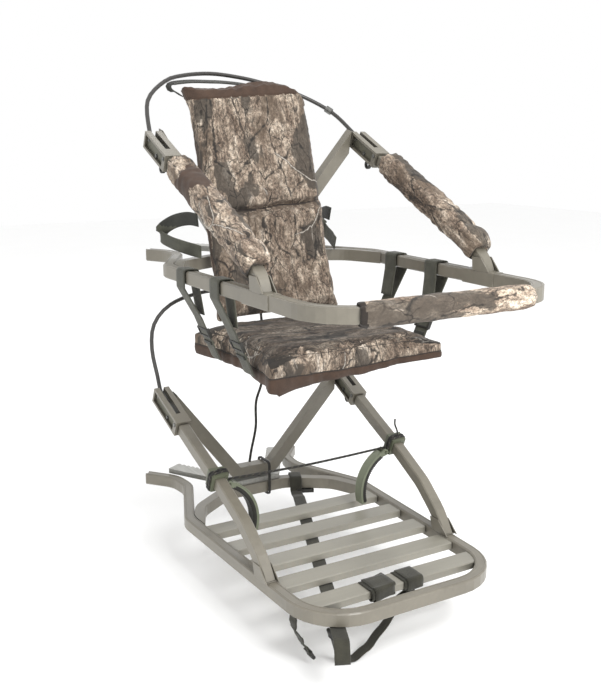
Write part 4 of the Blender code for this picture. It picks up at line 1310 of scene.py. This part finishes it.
def feet():
    """Weld beads and side plates where the uprights stand on the rails."""
    for section, foot, body, label in SECTIONS:
        (y0, z0), (y1, z1) = foot[:2]
        slope = (y1 - y0) / (z1 - z0)
        middle = y0 + (y1 - y0) * (0 - z0) / (z1 - z0)
        half = TUBE_H / 2 * hypot(1, slope)
        tall, toe = 1.15, 0.42
        outline = [(middle - half - toe, 0.03), (middle + half + toe, 0.03),
                   (middle + slope * tall + half * 0.9, tall),
                   (middle + slope * tall - half * 0.9, tall)]
        for side, hand in SIDES:
            x = side * upright_x(section, middle)
            ring = [place(x + dx * 0.54, middle + dy * half, section["z"] + 0.03)
                    for dx, dy in ((-1, -1), (1, -1), (1, 1), (-1, 1), (-1, -1))]
            weld(f"{label}_foot_weld_{hand}", ring, body, 0.055)
            for face, where in ((-1, "inner"), (1, "outer")):
                matrix = frame_matrix((x + side * face * (TUBE_W / 2 + 0.055), 0, section["z"]),
                                      (0, 1, 0), (0, 0, 1))
                add_piece(f"{label}_foot_plate_{where}_{hand}",
                          prism_mesh("plate", outline, 0.09, 0.03), "frame_metal", body,
                          smooth=False, matrix=matrix)


def rail_sleeves():
    """Thicker sleeves over the seat frame's joints, under the feet of its uprights."""
    wide, tall = TUBE_W / 2 + 0.07, TUBE_H / 2 + 0.06
    outline = rounded([(0, -tall), (wide, -tall), (wide, tall), (-wide, tall), (-wide, -tall),
                       (0, -tall)], 0.12)[:-1]
    for side, hand in SIDES:
        rings = []
        for y, swell in ((4.35, 0.90), (4.37, 1.0), (6.0, 1.0), (8.28, 1.0), (8.3, 0.90)):
            x = side * rail_x(SEAT, y, TUBE_W / 2)
            rings.append([place(x + q.x * swell, y, SEAT_Z - TUBE_H / 2 + q.y * swell)
                          for q in outline])
        sharpen(add_piece(f"seat_rail_sleeve_{hand}", skin_mesh("sleeve", rings),
                          "frame_metal", "seat_section"))


def strap_ends():
    """Buckle where the carrying strap hangs on the rear bow, and moulded tips in front."""
    down = 1.25
    matrix = frame_matrix((CARRY_BOW[0] - CARRY_LEAN * down, CARRY_BOW[1] - down,
                           -TUBE_H - STRAP_CLEAR), (-CARRY_LEAN, 1, 0), (0, 0, 1))
    boxes = [((-0.45, -0.22, -0.86), (0.45, 0.14, -0.68)),
             ((-0.45, -0.22, 0.68), (0.45, 0.14, 0.86)),
             ((-0.45, -0.22, -0.8), (-0.27, 0.14, 0.8)),
             ((0.27, -0.22, -0.8), (0.45, 0.14, 0.8)),
             ((-0.09, -0.24, -0.8), (0.09, 0.02, 0.8))]
    moulding("carry_buckle", boxes, 0.035, matrix, "platform")
    boxes = [((-0.35, -0.52, -0.12), (0.35, 0.52, 0.12)),
             ((-0.42, -0.46, -0.16), (-0.28, 0.46, 0.16)),
             ((0.2, -0.46, -0.16), (0.3, 0.46, 0.16))]
    for name, spot, along in (("carry_loop_tip", (-6.15, 3.1, -3.1), (-0.3, 0, 1)),
                              ("carry_tail_tip", (-7.42, 4.3, -4.95), (0.5, 0, -0.9))):
        moulding(name, boxes, 0.04, frame_matrix(spot, along, (0, 1, 0)), "platform")


def bracket_bolts():
    """Bolt heads on the brackets, and dark plates in their side pockets as painted shade."""
    for section, foot, body, label in SECTIONS:
        end = section["bracket"]
        # Painted shade: thin dark plates on the pocket floors.
        painted_shade_plates = [((face * 0.50 - 0.02, 0.66, -0.50), (face * 0.50 + 0.02, end - 0.31, 0.50))
                   for face in (-1, 1)]
        for side, hand in SIDES:
            matrix = bracket_place(section, foot, side)
            across = matrix.to_3x3() @ Vector((1, 0, 0))
            for face, where in SIDES:
                for part, spot, size in (("pin", (face * 0.505, PIN_ALONG, PIN_DOWN), 0.17),
                                         ("end", (face * 0.755, 0.32, 0.3), 0.14),
                                         ("tail", (face * 0.485, end - 0.65, CABLE_RISE), 0.15)):
                    bolt(f"{label}_{hand}_bolt_{part}_{where}",
                         matrix @ (Vector(spot) * INCH), across * face, size, body)
            add_piece(f"{label}_{hand}_bracket_pocket_shade", blocks_mesh("painted_shade_plate", painted_shade_plates, 0.01),
                      "frame_metal", body, [SHADED], matrix=matrix)


def slat_welds():
    """Beads where the slats behind the front one meet the side rails."""
    reach = 0.9
    for number, y in enumerate((19.5, 15.45, 11.4, 7.45), start=2):
        for side, hand in SIDES:
            points = [place(side * (rail_x(PLATFORM, y + dy, TUBE_W) - 0.02), y + dy, -0.13)
                      for dy in (-reach, reach)]
            weld(f"slat_weld_{number}_{hand}", points, "platform", 0.05)


def stirrup_treads():
    """Ribs on each stirrup's inner edge and sides, and rims along its edges."""
    first, last = STIRRUP_ARC
    centre_x, centre_z = STIRRUP_CENTRE
    for side, hand in SIDES:
        body = f"{hand}_stirrup"

        def at(turn, radius, y=STIRRUP_Y, side=side):
            return place(side * (centre_x + radius * cos(turn)), y,
                         centre_z + radius * sin(turn))

        def ribs(name, start, spread, count, rows, size, side=side, body=body):
            """Blocks spread round the arc, in rows of (radius, depth)."""
            spots = []
            for radius, y in rows:
                for k in range(count + 1):
                    turn = first + start + spread * k / count
                    out = Vector((side * cos(turn), 0, sin(turn)))
                    matrix = basis(Vector((0, 1, 0)).cross(out), Vector((0, 1, 0)))
                    spots.append(Matrix.Translation(at(turn, radius, y)) @ matrix)
            add_piece(name, ribs_mesh("ribs", spots, size), "dark_plastic", body, smooth=False)

        ribs(f"stirrup_tread_{hand}", 0.16, last - first - 0.2, 25,
             [(STIRRUP_R - 0.27, STIRRUP_Y)], (0.15, 0.96, 0.17))
        ribs(f"stirrup_slots_{hand}", 0.22, last - first - 0.3, 12,
             [(STIRRUP_R - 0.07, STIRRUP_Y + face * 0.49) for face in (-1, 1)],
             (0.40, 0.06, 0.17))
        for y, where in ((STIRRUP_Y - 0.47, "front"), (STIRRUP_Y + 0.47, "back")):
            for offset, edge, slot in ((0.2, "outer", "green_plastic"),
                                       (-0.2, "inner", "dark_plastic")):
                path = [at(first + 0.13 + (last - first - 0.15) * k / 40, STIRRUP_R + offset, y)
                        for k in range(41)]
                rod(f"stirrup_rim_{edge}_{where}_{hand}", path, 0.065, slot, body)


def bungee_wraps():
    """Turns of the bungee's cord round each clamp, a hook, and a cut tail on the far one."""
    (y0, z0), (y1, z1) = FOOT_LEAN[3:5]
    slope = atan2(z1 - z0, y1 - y0)
    turns = even(rounded([(0, -0.96), (0.85, -0.9), (0.85, 0.92), (-0.85, 0.92), (-0.85, -0.9),
                          (0, -0.96)], 0.3), 0.12)[:-1]
    for side, hand in SIDES:
        origin = place(side * upright_x(PLATFORM, CLAMP_Y), CLAMP_Y, CLAMP_Z)
        centre = Matrix.Translation(origin) @ Matrix.Rotation(slope, 4, "X")
        for number, along in ((1, -0.22), (2, 0.04)):
            path = [centre @ (Vector((q.x, along + 0.05 * sin(q.x * 3), q.y)) * INCH)
                    for q in turns]
            rod(f"bungee_wrap_{number}_{hand}", path, 0.10, "cord", "platform", 10, True)
        hook = [(-side * 1.02, -0.2, -0.5), (-side * 0.95, 0.05, 0.2), (-side * 0.75, 0.12, 0.75),
                (-side * 0.35, 0.1, 1.02), (side * 0.1, 0.05, 1.05)]
        path = [centre @ (q * INCH) for q in smooth_route(hook, 0.12)]
        rod(f"bungee_hook_{hand}", path, 0.07, "dark_plastic", "platform", 10)
    tail = [(0.1, 0.0, 1.0), (0.12, 0.3, 1.35), (0.05, 0.75, 1.75), (0.1, 1.0, 2.2)]
    path = [centre @ (q * INCH) for q in smooth_route(tail, 0.12)]
    rod(f"bungee_tail_{hand}", path, 0.085, "cord", "platform", 10)


# ---------------------------------------------------------------- stage and light

def floor_and_light():
    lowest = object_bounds()[0][2]
    half = 9.0
    mesh = bpy.data.meshes.new("floor")
    mesh.from_pydata([(-half, -half, 0), (half, -half, 0), (half, half, 0), (-half, half, 0)],
                     [], [(0, 1, 2, 3)])
    floor = bpy.data.objects.new("floor", mesh)
    bpy.context.scene.collection.objects.link(floor)
    floor.location = (0, 0, lowest - 0.002)
    pale = Shader("pale_floor", Roughness=0.9)
    pale.set(Base_Color=pale.mix(pale.noise(pale.place(), 3, 2.0), (0.95, 0.95, 0.945, 1.0),
                                 (0.97, 0.97, 0.97, 1.0)))
    mesh.materials.append(pale.material)
    world = bpy.data.worlds.new("studio")
    bpy.context.scene.world = world
    world.use_nodes = True
    sky = world.node_tree.nodes["Background"]
    sky.inputs["Color"].default_value = (1.0, 1.0, 1.0, 1.0)
    sky.inputs["Strength"].default_value = 1.0
    for name, at, size, power in (("key", (0.1, -3.5, 2.3), 1.6, 135),
                                  ("fill", (-3.2, -0.6, 1.4), 3.0, 10),
                                  ("back", (0.8, 3.0, 2.6), 2.5, 24)):
        light = bpy.data.objects.new(name, bpy.data.lights.new(name, "AREA"))
        light.data.size = size
        light.data.energy = power
        light.location = at
        aim = Vector((0, -0.3, -0.2)) - Vector(at)
        light.rotation_euler = aim.to_track_quat("-Z", "Y").to_euler()
        bpy.context.scene.collection.objects.link(light)
    bpy.context.scene.view_settings.view_transform = "Standard"


seat_cushion()
backrest()
arm_pads()
front_pad()
for side, hand in SIDES:
    for y, row in zip(STRAP_ROWS, ("front", "rear")):
        seat_strap(side, hand, y, row)
side_straps()
top_strap()
pack_straps()
slat_wraps()
frame_lips()
feet()
rail_sleeves()
strap_ends()
bracket_bolts()
slat_welds()
stirrup_treads()
bungee_wraps()
for _, hand in SIDES:
    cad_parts[f"stirrup_clamp_{hand}"].material_slots[0].material = CLAMP
floor_and_light()
